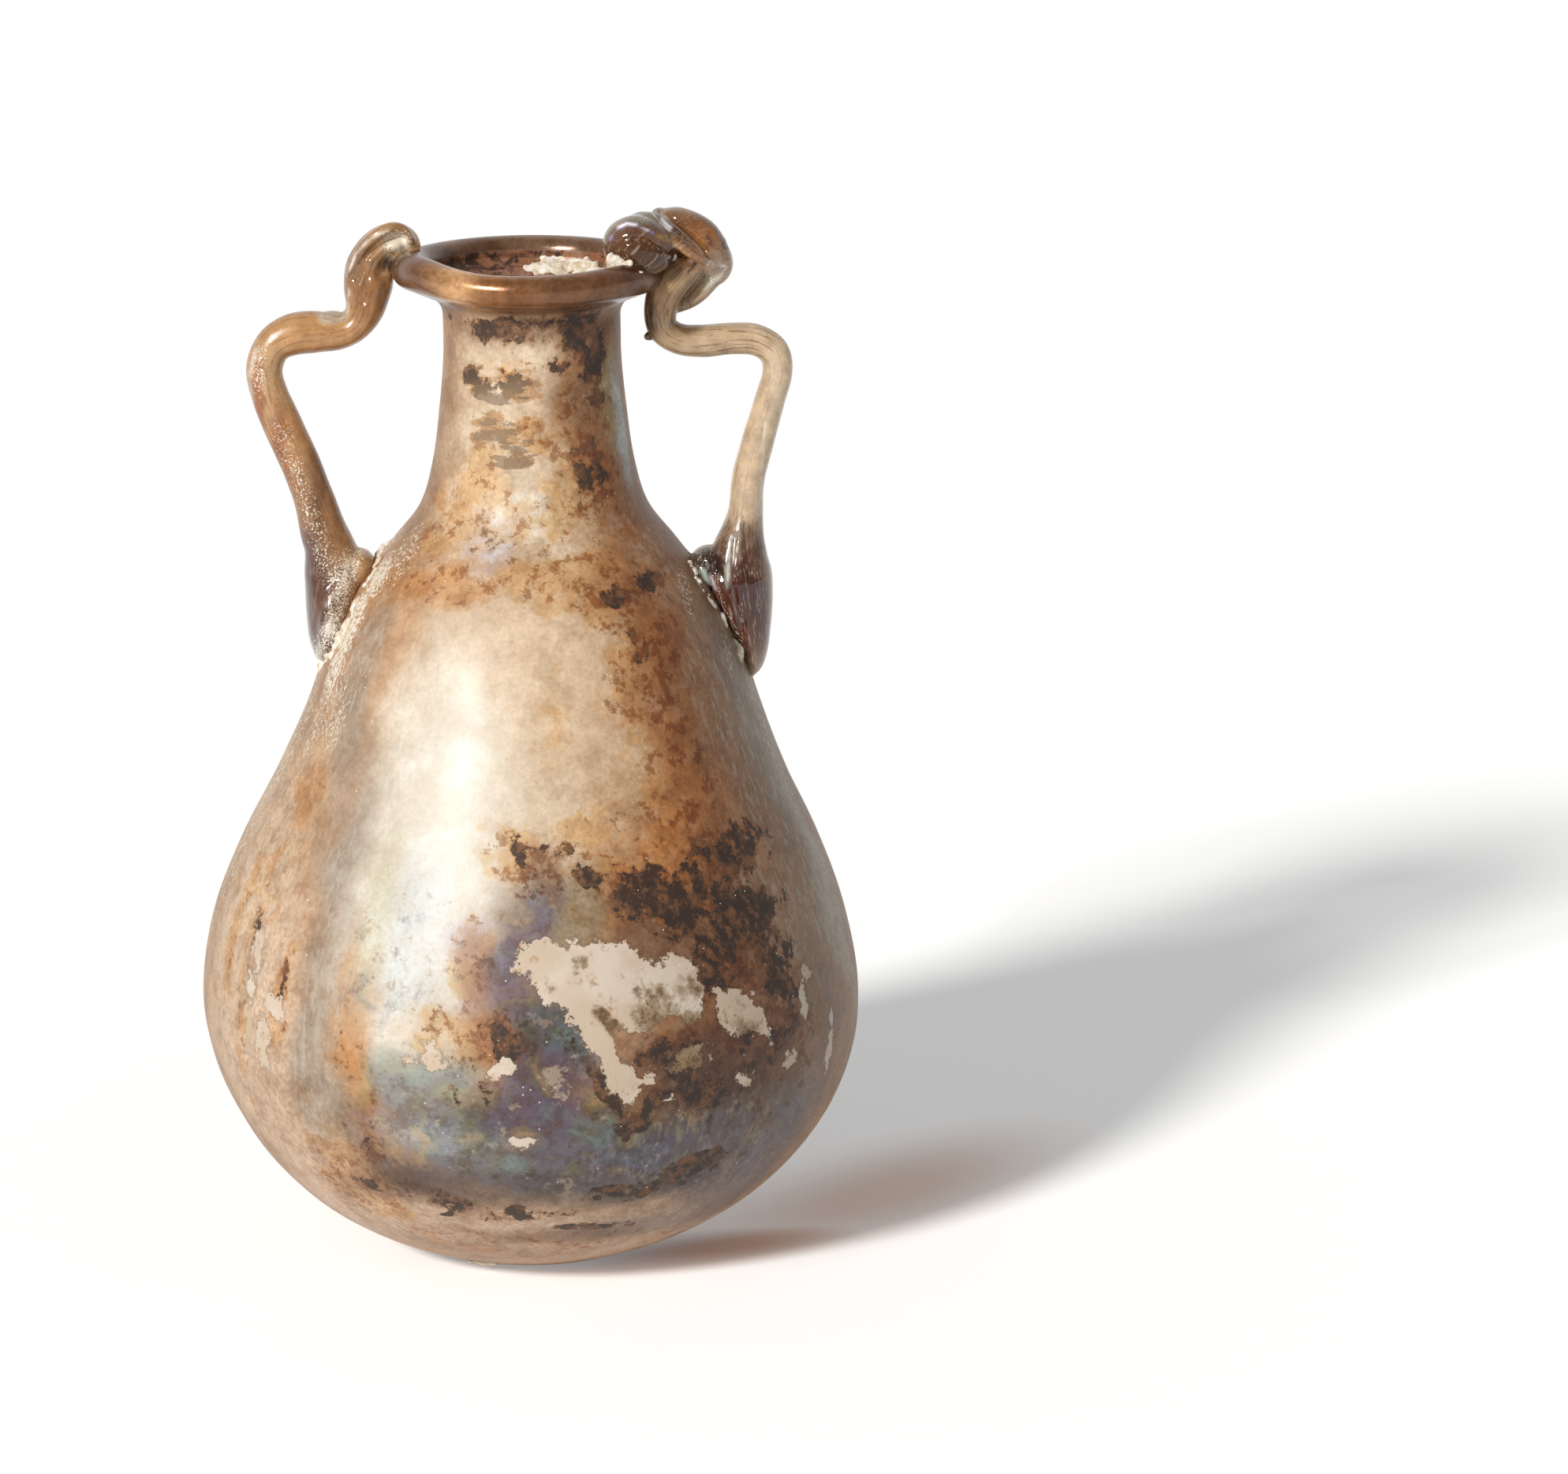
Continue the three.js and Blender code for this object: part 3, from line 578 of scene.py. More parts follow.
dark_marks = [
    (277, 59.4, 2.2, 1.4, 1), (270, 58.8, 1.6, 3.6, 0.9, 28), (283, 56.5, 3.4, 1.2, 0.9, -35),
    (319, 57.4, 5.4, 3.9, 1.25, 14), (308, 55.4, 2, 1.4, 0.8), (299, 52, 7, 3.6, 1.1, -20),
    (311, 48.5, 6.8, 7.4, 1.15, 10), (306, 43.8, 2.6, 4, 1), (316, 42, 5.4, 9, 0.85),
    (312, 53, 6, 4, 0.9, -20), (293, 28, 5.6, 2, 0.85), (285, 30.6, 1.2, 6, 1, 20),
    (280, 36.5, 1.1, 4, 0.9, 38), (302, 33, 8, 5, 1), (301, 29.5, 7, 2.6, 1),
    (240, 23, 2, 4, 0.55, 30), (326, 46, 3.2, 10, 0.3), (264, 37, 6, 3, 0.55, 20),
    (293, 41, 1, 3, 0.5), (319, 88.9, 3, 1.6, 0.7), (302, 88.1, 2.2, 1.8, 0.75),
    (304, 83.5, 1.6, 4, 0.75, -10), (258, 122.4, 7, 1.6, 1), (284, 122, 7, 2.4, 1),
    (300, 121, 5, 3.4, 1), (270, 122.6, 12, 1.2, 1), (304, 117, 4, 2, 0.8),
    (318, 116.5, 2, 5, 0.95), (250, 114.2, 5.2, 2, 1.2, -6), (257, 107.6, 4.8, 1.9, 1.1, 12),
    (243, 109.4, 2.6, 1, 1), (262, 104.6, 3, 1, 1, 8), (243, 115.6, 3, 0.5, 0.9),
    (258, 112.4, 4, 0.5, 0.8, -6), (250, 112, 2, 0.4, 0.8, 8), (308, 103.6, 3, 5, 0.7, 10),
    (303, 99.5, 1.6, 3, 0.6), (212, 47, 1.2, 3, 0.5), (223, 41.5, 0.8, 3, 0.9, -5),
    (248, 16, 9, 1.6, 0.6, -8), (268, 13.6, 9, 1.2, 0.55, 4), (301, 17.6, 9, 1.8, 1, 14),
    (286, 17, 6, 1.2, 0.75, 8), (262, 14.6, 7, 1.3, 0.8, -6), (286, 11, 6, 1, 0.6, -4),
    (262, 31, 5, 2, 0.5),
]
film_marks = [
    (256, 27, 12, 8, 0.9), (276, 33, 9, 9, 1), (286, 22, 18, 6, 0.8), (308, 24, 12, 6, 0.6),
    (270, 49, 5, 10, 0.8), (335, 110, 3, 8, 0.2), (250, 46, 11, 12, 0.4), (250, 95, 6, 5, 0.35),
    (322, 20, 8, 10, 0.6), (238, 44, 4, 15, 0.4),
]
streak_marks = [
    (208, 45, 9, 26, 0.8), (232, 50, 4, 26, 0.7), (346, 60, 12, 22, 0.8), (212, 78, 5, 8, 0.9),
    (334, 68, 6, 16, 0.7), (326, 48, 8, 10, 0.6), (336, 92, 5, 12, 0.5), (300, 20, 14, 8, 0.3),
]
speck_marks = [
    (214, 84, 9, 12, 1), (256, 32, 15, 12, 0.7), (308, 46, 13, 14, 0.7), (230, 60, 8, 20, 0.5),
    (200, 90, 12, 8, 0.9), (340, 95, 9, 14, 0.6), (300, 20, 18, 7, 0.5),
]
dust_marks = [
    (200, 88.5, 2.6, 3.6, 0.85, 30), (202, 84.5, 2.6, 3.8, 0.85, 34), (202, 81, 2.4, 3.6, 0.8, 30),
    (203, 77, 2.2, 3.8, 0.75, 10), (210, 73, 2.6, 6, 0.36), (202, 70, 2, 5, 0.4),
    (208, 92, 3, 5, 0.36, 20), (336, 87, 1.4, 4.6, 0.4, -30), (343, 79, 1.2, 4, 0.4, -30),
    (352, 64, 3, 20, 0.36), (188, 60, 5, 22, 0.36),
]
# Marks of the silky skin round the lamp's broad highlights on the belly and the neck: the mottle is weaker
# there, partly painted highlight.
silky_skin_and_highlight_marks = [
    (250, 62, 15, 32, 1), (255, 38, 14, 14, 0.9), (280, 75, 12, 20, 0.6), (254, 105, 8, 20, 0.6),
]
# Outlines of the two flaked patches, by bearing and height
flake_outline = [
    (269, 46.7), (272, 49), (275.5, 49.5), (282, 49.2), (287, 48.6), (291.5, 47.5), (295, 46.3),
    (298, 46.8), (302.7, 46.5), (303, 44.2), (304.6, 42.6), (303.4, 39.8), (304, 37.3), (300, 37.6),
    (297, 39), (292.5, 38.4), (288, 38), (287, 35.4), (290.5, 33.3), (295, 33.2), (293, 31.7),
    (290.8, 31.4), (290, 28.8), (287.3, 29.8), (285.8, 32.5), (283.8, 35), (281.2, 37),
    (279.3, 39.6), (277.3, 42.3), (274.6, 43), (272, 45.9),
]
small_flake_outline = [
    (306, 42), (310.5, 41.8), (315.5, 40.7), (316.4, 38.2), (318, 35), (315.5, 34.7), (312.3, 36.8),
    (307.8, 36), (306, 38),
]
flake_islands = [
    (327, 37.5, 1.3, 3.4, 1, -10), (336, 31, 1.6, 6, 1, -8), (296, 29.5, 1.5, 0.8, 1),
    (222, 38.5, 2.4, 3, 0.95, 30), (218, 33, 3.4, 5, 0.85, 10), (269.5, 24.6, 2.6, 1.4, 0.9),
    (254, 35.5, 3.4, 3, 0.72), (266, 34, 3, 2, 0.8, 20), (214, 43, 2.6, 7, 0.8, 4),
    (300, 35.6, 5, 5, 0.8), (310, 30, 3, 2, 0.78), (321, 31, 2.2, 2.6, 0.85),
    (297, 41, 2, 4, 0.9, 20), (330, 42, 2, 4, 0.75),
]
smoke_marks = [
    (294, 41, 2.6, 3.8, 1.1, 10), (287, 38.6, 0.9, 4.6, 1, 38), (299, 37, 4.4, 4.8, 1.1),
    (303, 43, 3, 2, 0.6), (281, 47, 1, 1, 0.7), (276, 45, 1, 1.6, 0.5), (312, 38, 3, 3, 0.6),
    (290, 31, 1, 2, 0.5),
]
# Tints of the rim: colour, bearing, spread in degrees, strength. Amber and brass paint the lamp's golden
# highlight on the front of the roll, amber there partly the roll's own brown glass.
rim_tints = [
    ("brown", 270, 400, 0.97), ("amber", 249, 30, 0.55), ("painted_highlight_brass", 238, 11, 0.6),
    ("sienna", 300, 16, 0.4),
]

rim_start = 121.9
rim_blend = 1.4
rim_part = rising(height, rim_start, rim_blend)
rim_part[throat_start:] = 0
inside = np.zeros_like(radius)
inside[throat_start:] = 1
open_skin = (1 - rim_part) * (1 - inside)
tint = np.zeros(radius.shape + (4,)) + colour_of(*stain_and_painted_light_colours["tan"])
for name, *mark in washes:
    tint = laid(tint, blot(*mark, soft=1.0), stain_and_painted_light_colours[name])
for name, middle, spread, strength in rim_tints:
    tint = laid(tint, rim_part * near_bearing(middle, spread) * strength, stain_and_painted_light_colours[name])
tint = laid(tint, inside, stain_and_painted_light_colours["wine"])

# Depth into the flaked patches in mm, held to what their edges need, with two holes in them
flake = np.maximum(outline_depth(flake_outline), outline_depth(small_flake_outline))
flake = np.maximum(flake, blots(flake_islands, 1.6) * 4.0 - 3.0)
flake = np.where(open_skin > 0.5, np.clip(flake, -5, 3), -5)
flake = flake - blot(287, 38.3, 0.9, 3.8, 2.0, 36) - blot(298, 38, 3, 2.4, 1.4)


def put(piece, name, values, kind="FLOAT"):
    """Attribute of a piece's points from an array of values."""
    part = {"FLOAT": "value", "FLOAT_COLOR": "color", "FLOAT_VECTOR": "vector"}[kind]
    made = piece.data.attributes.new(name, kind, "POINT")
    made.data.foreach_set(part, np.ascontiguousarray(values, np.float32).reshape(-1))


def mark_skin(name, values, kind="FLOAT"):
    """Attribute of the vessel from a grid of values; each pole takes the mean of its row."""
    flat = values.reshape((-1,) + values.shape[2:])
    whole = np.concatenate([flat, values[:1].mean(axis=1), values[-1:].mean(axis=1)])
    put(vessel, name, whole, kind)


mark_skin("tint", tint, "FLOAT_COLOR")
mark_skin("flake", flake)
mark_skin("rust", blots(rust_marks, 1.2) * open_skin + inside * 0.5)
mark_skin("dark", blots(dark_marks, 1.2) * open_skin + rim_part * 0.12 + inside * 0.35)
mark_skin("speck", np.maximum(blots(speck_marks, 1.4), 0.6 * inside))
mark_skin("gloss", np.maximum(rim_part, 0.3 * inside))
mark_skin("faded", blot(254, 108, 10, 6.8, 0.9, soft=1.0) * open_skin)
for name, marks, soft in (
    ("film", film_marks, 1.2), ("streak", streak_marks, 1.2), ("dust", dust_marks, 1.2),
    ("silky_skin_and_highlight", silky_skin_and_highlight_marks, 1.6), ("smoke", smoke_marks, 1.4),
):
    mark_skin(name, blots(marks, soft) * open_skin)


def attribute(place, name, output="Fac"):
    """Attribute of the mesh, in the graph that the place belongs to."""
    return field("Attribute", {}, output, place.graph, attribute_name=name)


def stretched(place, scale):
    """Place with each axis multiplied by its scale."""
    return field("VectorMath", {0: place, 1: scale}, operation="MULTIPLY")


def noise(place, size, detail=4.0, rough=0.6, distortion=0.0):
    """Noise of about 0 to 1 whose largest lumps are the size given in mm."""
    return field("TexNoise", {
        "Vector": place, "Scale": 1 / (size * millimetre), "Detail": detail, "Roughness": rough,
        "Distortion": distortion,
    })


def broken(amount, field_of_noise, strength, low, high):
    """Share of a stain whose edge is broken up by a noise field, crisp where low meets high. The
    field counts only where the stain's own amount has risen a little above nothing."""
    swing = (field_of_noise - 0.5) * strength * band(amount, 0.0, 0.3)
    return band(amount + swing, low, high)


def toned(share, under, by, low, high, first, last):
    """Colour multiplied, by a share, by a tone that runs from first to last along a field."""
    tone = mixed(band(by, low, high), first + (1.0,), last + (1.0,))
    return mixed(share, under, tone, "MULTIPLY")


def dents(relief, strength, depth):
    """Normal of a relief field whose depth is given in mm."""
    sockets = {"Strength": strength, "Distance": depth * millimetre, "Height": relief}
    return field("Bump", sockets)


weathered, spot, weathered_shader = new_material("weathered_glass")
broad = noise(spot, 9, 6, 0.6)
mottle = noise(spot, 3.0, 10, 0.7)
crumb = noise(spot, 4.4, 11, 0.7, 0.15)
patch = noise(spot, 5, 10, 0.72)
vein = noise(spot, 2.0, 10, 0.74)
fine = noise(spot, 0.6, 5, 0.62)
swirl = noise(spot, 8, 6, 0.58, 1.4)
lines = noise(stretched(spot, (1, 1, 0.05)), 0.8, 4, 0.65)
powder = noise(stretched(spot, (1, 1, 0.4)), 0.3, 4, 0.62)
dashes = noise(stretched(spot, (0.45, 0.45, 1.7)), 3.6, 11, 0.72)
film = attribute(spot, "film")
rust = attribute(spot, "rust")
dark = attribute(spot, "dark") * 0.66
faded = attribute(spot, "faded")
gloss = attribute(spot, "gloss")

# Ground of tan and cream, mottled less where the skin is silky, round the lamp's highlights: partly painted
# highlight
rough_skin = 1.0 - attribute(spot, "silky_skin_and_highlight") * 0.72
colour = attribute(spot, "tint", "Color")
colour = toned(rough_skin, colour, mottle, 0.36, 0.6, (0.74, 0.65, 0.55), (1.1, 1.1, 1.1))
colour = toned(1.0, colour, broad, 0.38, 0.62, (0.91, 0.87, 0.82), (1.06, 1.06, 1.06))
colour = toned(rough_skin, colour, fine, 0.35, 0.65, (0.82, 0.8, 0.78), (1.1, 1.1, 1.1))

# Iridescent film, with breaks, streaks, flecks and cream islands in it
film_stops = [
    (0.34, (104, 124, 124)), (0.41, (84, 92, 104)), (0.46, (92, 84, 108)), (0.51, (82, 62, 72)),
    (0.57, (98, 100, 70)), (0.64, (166, 132, 86)),
]
film_colour = field("ValToRGB", {0: swirl})
ramp = film_colour.socket.node.color_ramp
while len(ramp.elements) < len(film_stops):
    ramp.elements.new(0.5)
for element, (at, stop_colour) in zip(ramp.elements, film_stops):
    element.position = at
    element.color = colour_of(*stop_colour)
colour = mixed(broken(film, mottle, 2.4, 0.35, 0.8) * 0.45, colour, film_colour)
break_share = broken(film * 0.55, vein, 5.0, 0.42, 0.7) * 0.65
colour = mixed(break_share, colour, (0.64, 0.54, 0.45, 1), "MULTIPLY")
streak_share = attribute(spot, "streak") * band(lines, 0.5, 0.62) * 0.72
colour = mixed(streak_share, colour, colour_of(178, 168, 152))
fleck_share = band(vein * 0.6 + fine * 0.4, 0.57, 0.62) * 0.32
colour = mixed(fleck_share, colour, (0.7, 0.52, 0.35, 1), "MULTIPLY")
island_share = film * band(crumb, 0.42, 0.38) * 0.42
colour = mixed(island_share, colour, colour_of(196, 176, 150))

# Rust brown bloom and veins, then dark stains with a halo, wiped and faded on the neck
bloom_share = broken(rust, patch, 4.0, 0.2, 0.75)
colour = mixed(bloom_share, colour, (0.95, 0.78, 0.55, 1), "MULTIPLY")
vein_share = broken(rust * 0.6, vein, 5.5, 0.5, 0.8)
colour = mixed(vein_share, colour, (0.62, 0.44, 0.29, 1), "MULTIPLY")
halo_share = broken(dark, crumb, 5.0, 0.2, 0.5)
colour = mixed(halo_share, colour, (0.72, 0.55, 0.38, 1), "MULTIPLY")
dark_share = broken(dark, crumb + (dashes - crumb) * faded, 6.5, 0.48, 0.56)
dark_colour = mixed(band(vein, 0.47, 0.62), colour_of(40, 28, 22), colour_of(116, 78, 48))
dark_colour = mixed(faded, dark_colour, colour_of(128, 106, 84))
dark_cover = band(faded, 0.0, 0.8, 0.92, 0.7)
colour = mixed(dark_share * dark_cover, colour, dark_colour)

# Flaked patches: ragged outline, thin dark edge, smoke and soot on the cream glass
flake_field = attribute(spot, "flake") + ((crumb - 0.5) * 6.5 + (vein - 0.5) * 5.5)
flake_share = band(flake_field, -0.05, 0.05)
flake_edge = band(flake_field, -0.6, -0.1) * (1.0 - flake_share) * 0.4
colour = mixed(flake_edge, colour, colour_of(84, 58, 42))
bare = mixed(band(broad, 0.4, 0.62), colour_of(207, 192, 176), colour_of(195, 175, 153))
bare = mixed(band(vein, 0.57, 0.66), bare, colour_of(176, 142, 108))
smoke_share = broken(attribute(spot, "smoke"), crumb, 4.0, 0.3, 0.9)
bare = mixed(smoke_share, bare, (0.5, 0.42, 0.31, 1), "MULTIPLY")
bare = mixed(smoke_share * band(vein, 0.47, 0.56), bare, (0.5, 0.42, 0.34, 1), "MULTIPLY")
colour = mixed(flake_share, colour, bare)

# Pale grains, each in a cell of its own, and soil dust by the pads
grain_size = 1.0 * millimetre
grain_distance = field("TexVoronoi", {"Vector": spot, "Scale": 1 / grain_size}, "Distance")
grain_chance = field("SeparateColor", {0: grain_distance.beside("Color")})
has_grain = worked("LESS_THAN", grain_chance, attribute(spot, "speck") * 0.3)
speck_share = band(grain_distance, 0.12, 0.06) * has_grain
colour = mixed(speck_share, colour, colour_of(236, 230, 218))
dust_share = broken(attribute(spot, "dust"), powder, 4.0, 0.56, 0.7)
colour = mixed(dust_share * 0.9, colour, colour_of(228, 218, 200))

covered = most(flake_share, dark_share, speck_share, dust_share)
relief = fine * 0.2 + mottle * 0.45 + lines * 0.2 - flake_share * 0.6
relief = relief + dark_share * 0.3 + speck_share * 0.4 + dust_share * 0.9
feed(weathered_shader, {
    "Base Color": colour,
    "Roughness": band(mottle, 0.3, 0.7, 0.5, 0.62) - gloss * 0.32 + covered * 0.15,
    "Metallic": gloss * 0.35,
    "IOR": 1.52,
    "Specular IOR Level": 0.45,
    "Coat Weight": 0.14,
    "Coat Roughness": 0.3,
    "Normal": dents(relief, strength=0.5, depth=0.12),
})
vessel.data.materials.append(weathered)


# Left handle: one trail of hot amber glass, dropped on the shoulder as a pad, drawn up and out,
# bent in under the rim and folded down on it. It is fused to the vessel at both ends.
def trail(marks, steps, sides=36):
    """Rod of oval section along a smooth run of marks: x, y, z, half thickness, half breadth.

    With T the run's direction, B the part of Y square to T and N = B x T, a section is
    centre + N thickness cos a + B breadth sin a. Each end is rounded off by sections that step
    back by the sine of an angle while they shrink by its cosine.
    """
    run = flowing(marks, steps)
    direction = headings(run[:, :3])
    swing = np.radians([84, 66, 46, 24])
    centre = np.vstack([
        run[0, :3] - np.outer(np.sin(swing) * run[0, 3], direction[0]),
        run[:, :3],
        run[-1, :3] + np.outer(np.sin(swing[::-1]) * run[-1, 3], direction[-1]),
    ])
    caps = len(swing)
    copies = [1 + caps] + [1] * (len(run) - 2) + [1 + caps]
    direction = np.repeat(direction, copies, axis=0)
    girth = np.repeat(run[:, 3:], copies, axis=0)
    girth[:caps] *= np.cos(swing)[:, None]
    girth[-caps:] *= np.cos(swing[::-1])[:, None]
    beside = np.array([0, 1, 0]) - direction * direction[:, 1:2]
    beside /= np.linalg.norm(beside, axis=1)[:, None]
    across = np.cross(beside, direction)
    angle = np.linspace(0, 2 * np.pi, sides, endpoint=False)[None, :, None]
    return (
        centre[:, None]
        + across[:, None] * girth[:, None, :1] * np.cos(angle)
        + beside[:, None] * girth[:, None, 1:] * np.sin(angle)
    )


def lump(middle, half, tilt=0.0):
    """Egg of three half sizes about a middle, leaned about Y: at 90 its Z side points to +X."""
    pole_gap = 0.03
    polar = np.linspace(pole_gap, np.pi - pole_gap, 48)[:, None]
    turn = np.linspace(0, 2 * np.pi, 80, endpoint=False)
    x = np.sin(polar) * np.cos(turn) * half[0]
    y = np.sin(polar) * np.sin(turn) * half[1]
    z = np.cos(polar) * half[2] + 0 * turn
    lean_cos, lean_sin = math.cos(math.radians(tilt)), math.sin(math.radians(tilt))
    return np.stack([x * lean_cos + z * lean_sin, y, z * lean_cos - x * lean_sin], -1) + middle


pad_top = 93.5
pad_blend = -4


def hug(grid):
    """Pad bent round the shoulder: each point moves in by how far the round wall falls back
    beside it, R - sqrt(R² - y²), below the height where the rod leaves the pad."""
    level = wall_radius(grid[..., 2])
    fall = level - np.sqrt(np.maximum(level**2 - grid[..., 1] ** 2, 0))
    bent = grid.copy()
    bent[..., 0] -= np.sign(grid[..., 0]) * fall * rising(grid[..., 2], pad_top, pad_blend)
    return bent


def fused(name, grids, grain, rounds):
    """One skin round several closed grids: they are joined, remeshed to cells of the grain in
    mm, and each point is then moved half way to its neighbours' mean, round after round."""
    parts = [skin(name, grid * millimetre, *(grid[[0, -1]].mean(axis=1) * millimetre)) for grid in grids]
    rough = parts[0]
    with bpy.context.temp_override(active_object=rough, selected_editable_objects=parts):
        bpy.ops.object.join()
    remesh = rough.modifiers.new("remesh", "REMESH")
    remesh.mode = "VOXEL"
    remesh.voxel_size = grain * millimetre
    smooth = rough.modifiers.new("smooth", "SMOOTH")
    smooth.factor = 0.5
    smooth.iterations = rounds
    graph = bpy.context.evaluated_depsgraph_get()
    mesh = bpy.data.meshes.new_from_object(rough.evaluated_get(graph))
    bpy.data.objects.remove(rough)
    mesh.polygons.foreach_set("use_smooth", np.ones(len(mesh.polygons), bool))
    return placed(name, mesh)


def threes(rows, key):
    """Array of a three-part property of all rows of a mesh."""
    flat = np.empty(len(rows) * 3)
    rows.foreach_get(key, flat)
    return flat.reshape(-1, 3)


def places_of(piece):
    """Places of a piece's points in mm."""
    return threes(piece.data.vertices, "co") / millimetre


def normals_of(piece):
    """Directions that a piece's surface faces at its points."""
    return threes(piece.data.vertex_normals, "vector")


def raised(piece, lift):
    """Moves each point of a piece out along its normal by a lift in mm."""
    moved = (places_of(piece) + normals_of(piece) * lift[:, None]) * millimetre
    piece.data.vertices.foreach_set("co", moved.reshape(-1))
    piece.data.update()


def line_bell(places, line, width):
    """Bell curve about a line of (x, z) in the handles' plane: e to the -(distance / width)²."""
    return np.exp(-((line_distance(places[:, [0, 2]], line) / width) ** 2))


def spot_bell(places, x, z, wide, high):
    """Bell curve about a spot of the handles' plane: e to the -(dx / wide)² - (dz / high)²."""
    return np.exp(-(((places[:, 0] - x) / wide) ** 2) - ((places[:, 2] - z) / high) ** 2)


def creased(piece, creases):
    """Sinks each crease into the glass on its side by its depth times a bell curve, and makes
    the surface a little uneven by coarse and fine noise."""
    places, normals = places_of(piece), normals_of(piece)
    sunk = np.zeros(len(places))
    for line, depth, width, face in creases:
        facing = np.clip(face * normals[:, 1] * 2 + 0.6, 0, 1)
        sunk += facing * depth * line_bell(places, line, width)
    sunk += 0.03 * lattice_noise(places, 2.3, 71) + 0.003 * lattice_noise(places, 0.9, 72)
    raised(piece, -sunk)


def tinted_with_glints(piece, base, spots, glints):
    """Tint of a handle: spots laid on its base colour, each an ellipse in the handle's plane, and
    then glints: painted highlights mostly, some pearly film and crust, and painted shade in a
    crease, lines on the front whose strength falls off as a bell curve and is crumbled by noise.
    Gives back how much glint there is, because it hides the clear glass."""
    places = places_of(piece)
    stray_x, stray_z = (lattice_noise(places, 1.8, seed) * 0.5 for seed in (81, 82))
    colours = np.zeros((len(places), 4)) + colour_of(*base)
    for colour, x, z, half_x, half_z, amount in spots:
        distance = np.hypot(
            (places[:, 0] + stray_x - x) / half_x, (places[:, 2] + stray_z - z) / half_z
        )
        colours = laid(colours, amount * rising(distance, 1.5, -1), colour)
    crumbled = np.clip(0.5 - 2 * normals_of(piece)[:, 1], 0, 1)
    crumbled = crumbled * settle(np.clip(0.85 + 0.9 * lattice_noise(places, 1.1, 83), 0, 1))
    film = np.zeros(len(places))
    for colour, line, width, amount in glints:
        share = amount * crumbled * line_bell(places, line, width)
        film = np.maximum(film, share)
        colours = laid(colours, share, colour)
    put(piece, "tint", colours, "FLOAT_COLOR")
    return film


def routed(piece, marks):
    """Place of each point along and across the nearest bit of the rod, for its drawn lines."""
    run = flowing(marks, 160)[:, :3]
    places = places_of(piece)
    nearest = np.linalg.norm(places[:, None] - run[None], axis=2).argmin(axis=1)
    direction = headings(run)[nearest]
    offset = places - run[nearest]
    along = run_length(run)[nearest] + np.einsum("ij,ij->i", offset, direction)
    across = np.einsum("ij,ij->i", offset, np.cross([0, 1, 0], direction))
    put(piece, "route", np.stack([along, across, places[:, 1]], -1), "FLOAT_VECTOR")


left_rod = [
    (-26, 0, 92.8, 2.95, 3.4), (-27, 0, 96.5, 2.6, 2.7), (-28.6, 0.2, 101, 2.5, 2.5),
    (-30.9, 0.4, 106.2, 2.5, 2.5), (-32.6, 0.6, 110.4, 2.35, 2.4), (-33.1, 0.8, 113.4, 2.3, 2.4),
    (-32, 1, 116.2, 2.35, 2.4), (-29.6, 1.2, 117.6, 2.65, 2.5), (-26.6, 1.5, 117.9, 2.65, 2.6),
    (-24, 1.8, 117.7, 2.15, 2.6), (-21.9, 2.1, 118.6, 2.1, 2.8), (-20.6, 2.4, 120.6, 2.5, 2.9),
    (-20.1, 2.7, 123.4, 3.1, 2.9), (-19.7, 3, 126, 3.1, 2.7), (-18.4, 3.2, 128.2, 2.7, 2.5),
    (-16.6, 3.2, 129.3, 2.2, 2.2), (-15.2, 3.1, 128.7, 1.8, 1.9), (-14.7, 3, 127.4, 1.2, 1.4),
]
left_pad = [
    (-26, -0.4, 76, 0.7, 1.6), (-26.05, -0.4, 77.4, 1.45, 4.6), (-25.9, -0.3, 79.6, 2.2, 6.6),
    (-25.35, -0.2, 83, 3.05, 6.2), (-24.8, 0, 86.5, 3.7, 5), (-24.85, 0, 88.6, 3.65, 4.4),
    (-25.3, 0, 90.8, 3.2, 3.8),
]
left_handle = fused("left_handle_glass", [
    hug(trail(left_pad + left_rod, 190)),
    hug(lump((-21.9, 0, 88), (2.2, 3.6, 2.6), 36)),
    lump((-24.2, 1.9, 119.5), (2, 0.8, 1.0), 8),
    lump((-17.2, 3.0, 128.4), (2.5, 2.3, 2.3)),
    trail([
        (-22.2, 1.2, 125.6, 0.6, 0.7), (-21, 0.9, 128, 0.75, 0.8), (-19.2, 0.7, 130, 0.8, 0.9),
        (-17.2, 0.8, 131.1, 0.8, 0.9), (-15.6, 1.2, 130.9, 0.7, 0.8), (-14.6, 1.6, 129.6, 0.6, 0.7),
    ], 30),
], grain=0.2, rounds=6)
# Creases: line of x and z, depth and width in mm, and -1 on the front or 1 on the back
creased(left_handle, [
    ([(-21.4, 124.8), (-20, 127.4), (-18.4, 129.1), (-16.8, 129.9), (-15.6, 129.6)], 0.4, 0.4, -1),
    ([(-20.6, 122), (-20, 125), (-19, 127.2), (-17.6, 128.6)], 0.25, 0.4, -1),
    ([(-18, 125.6), (-17.2, 127)], 1.3, 0.9, -1),
    ([(-20, 127), (-18, 128.6), (-16.2, 129)], -0.35, 0.6, -1),
    ([(-23, 121), (-21.5, 125.5), (-18, 129.2)], 0.25, 0.4, 1),
    ([(-26.8, 78), (-26.9, 82), (-26, 85.5), (-24.5, 87.5)], 0.22, 0.5, -1),
    ([(-24.8, 80.2), (-24.2, 82.4), (-23.2, 84.6)], 0.5, 0.9, -1),
    ([(-26.5, 79), (-26, 84), (-24.5, 87)], 0.22, 0.5, 1),
])
honey = (212, 162, 108)
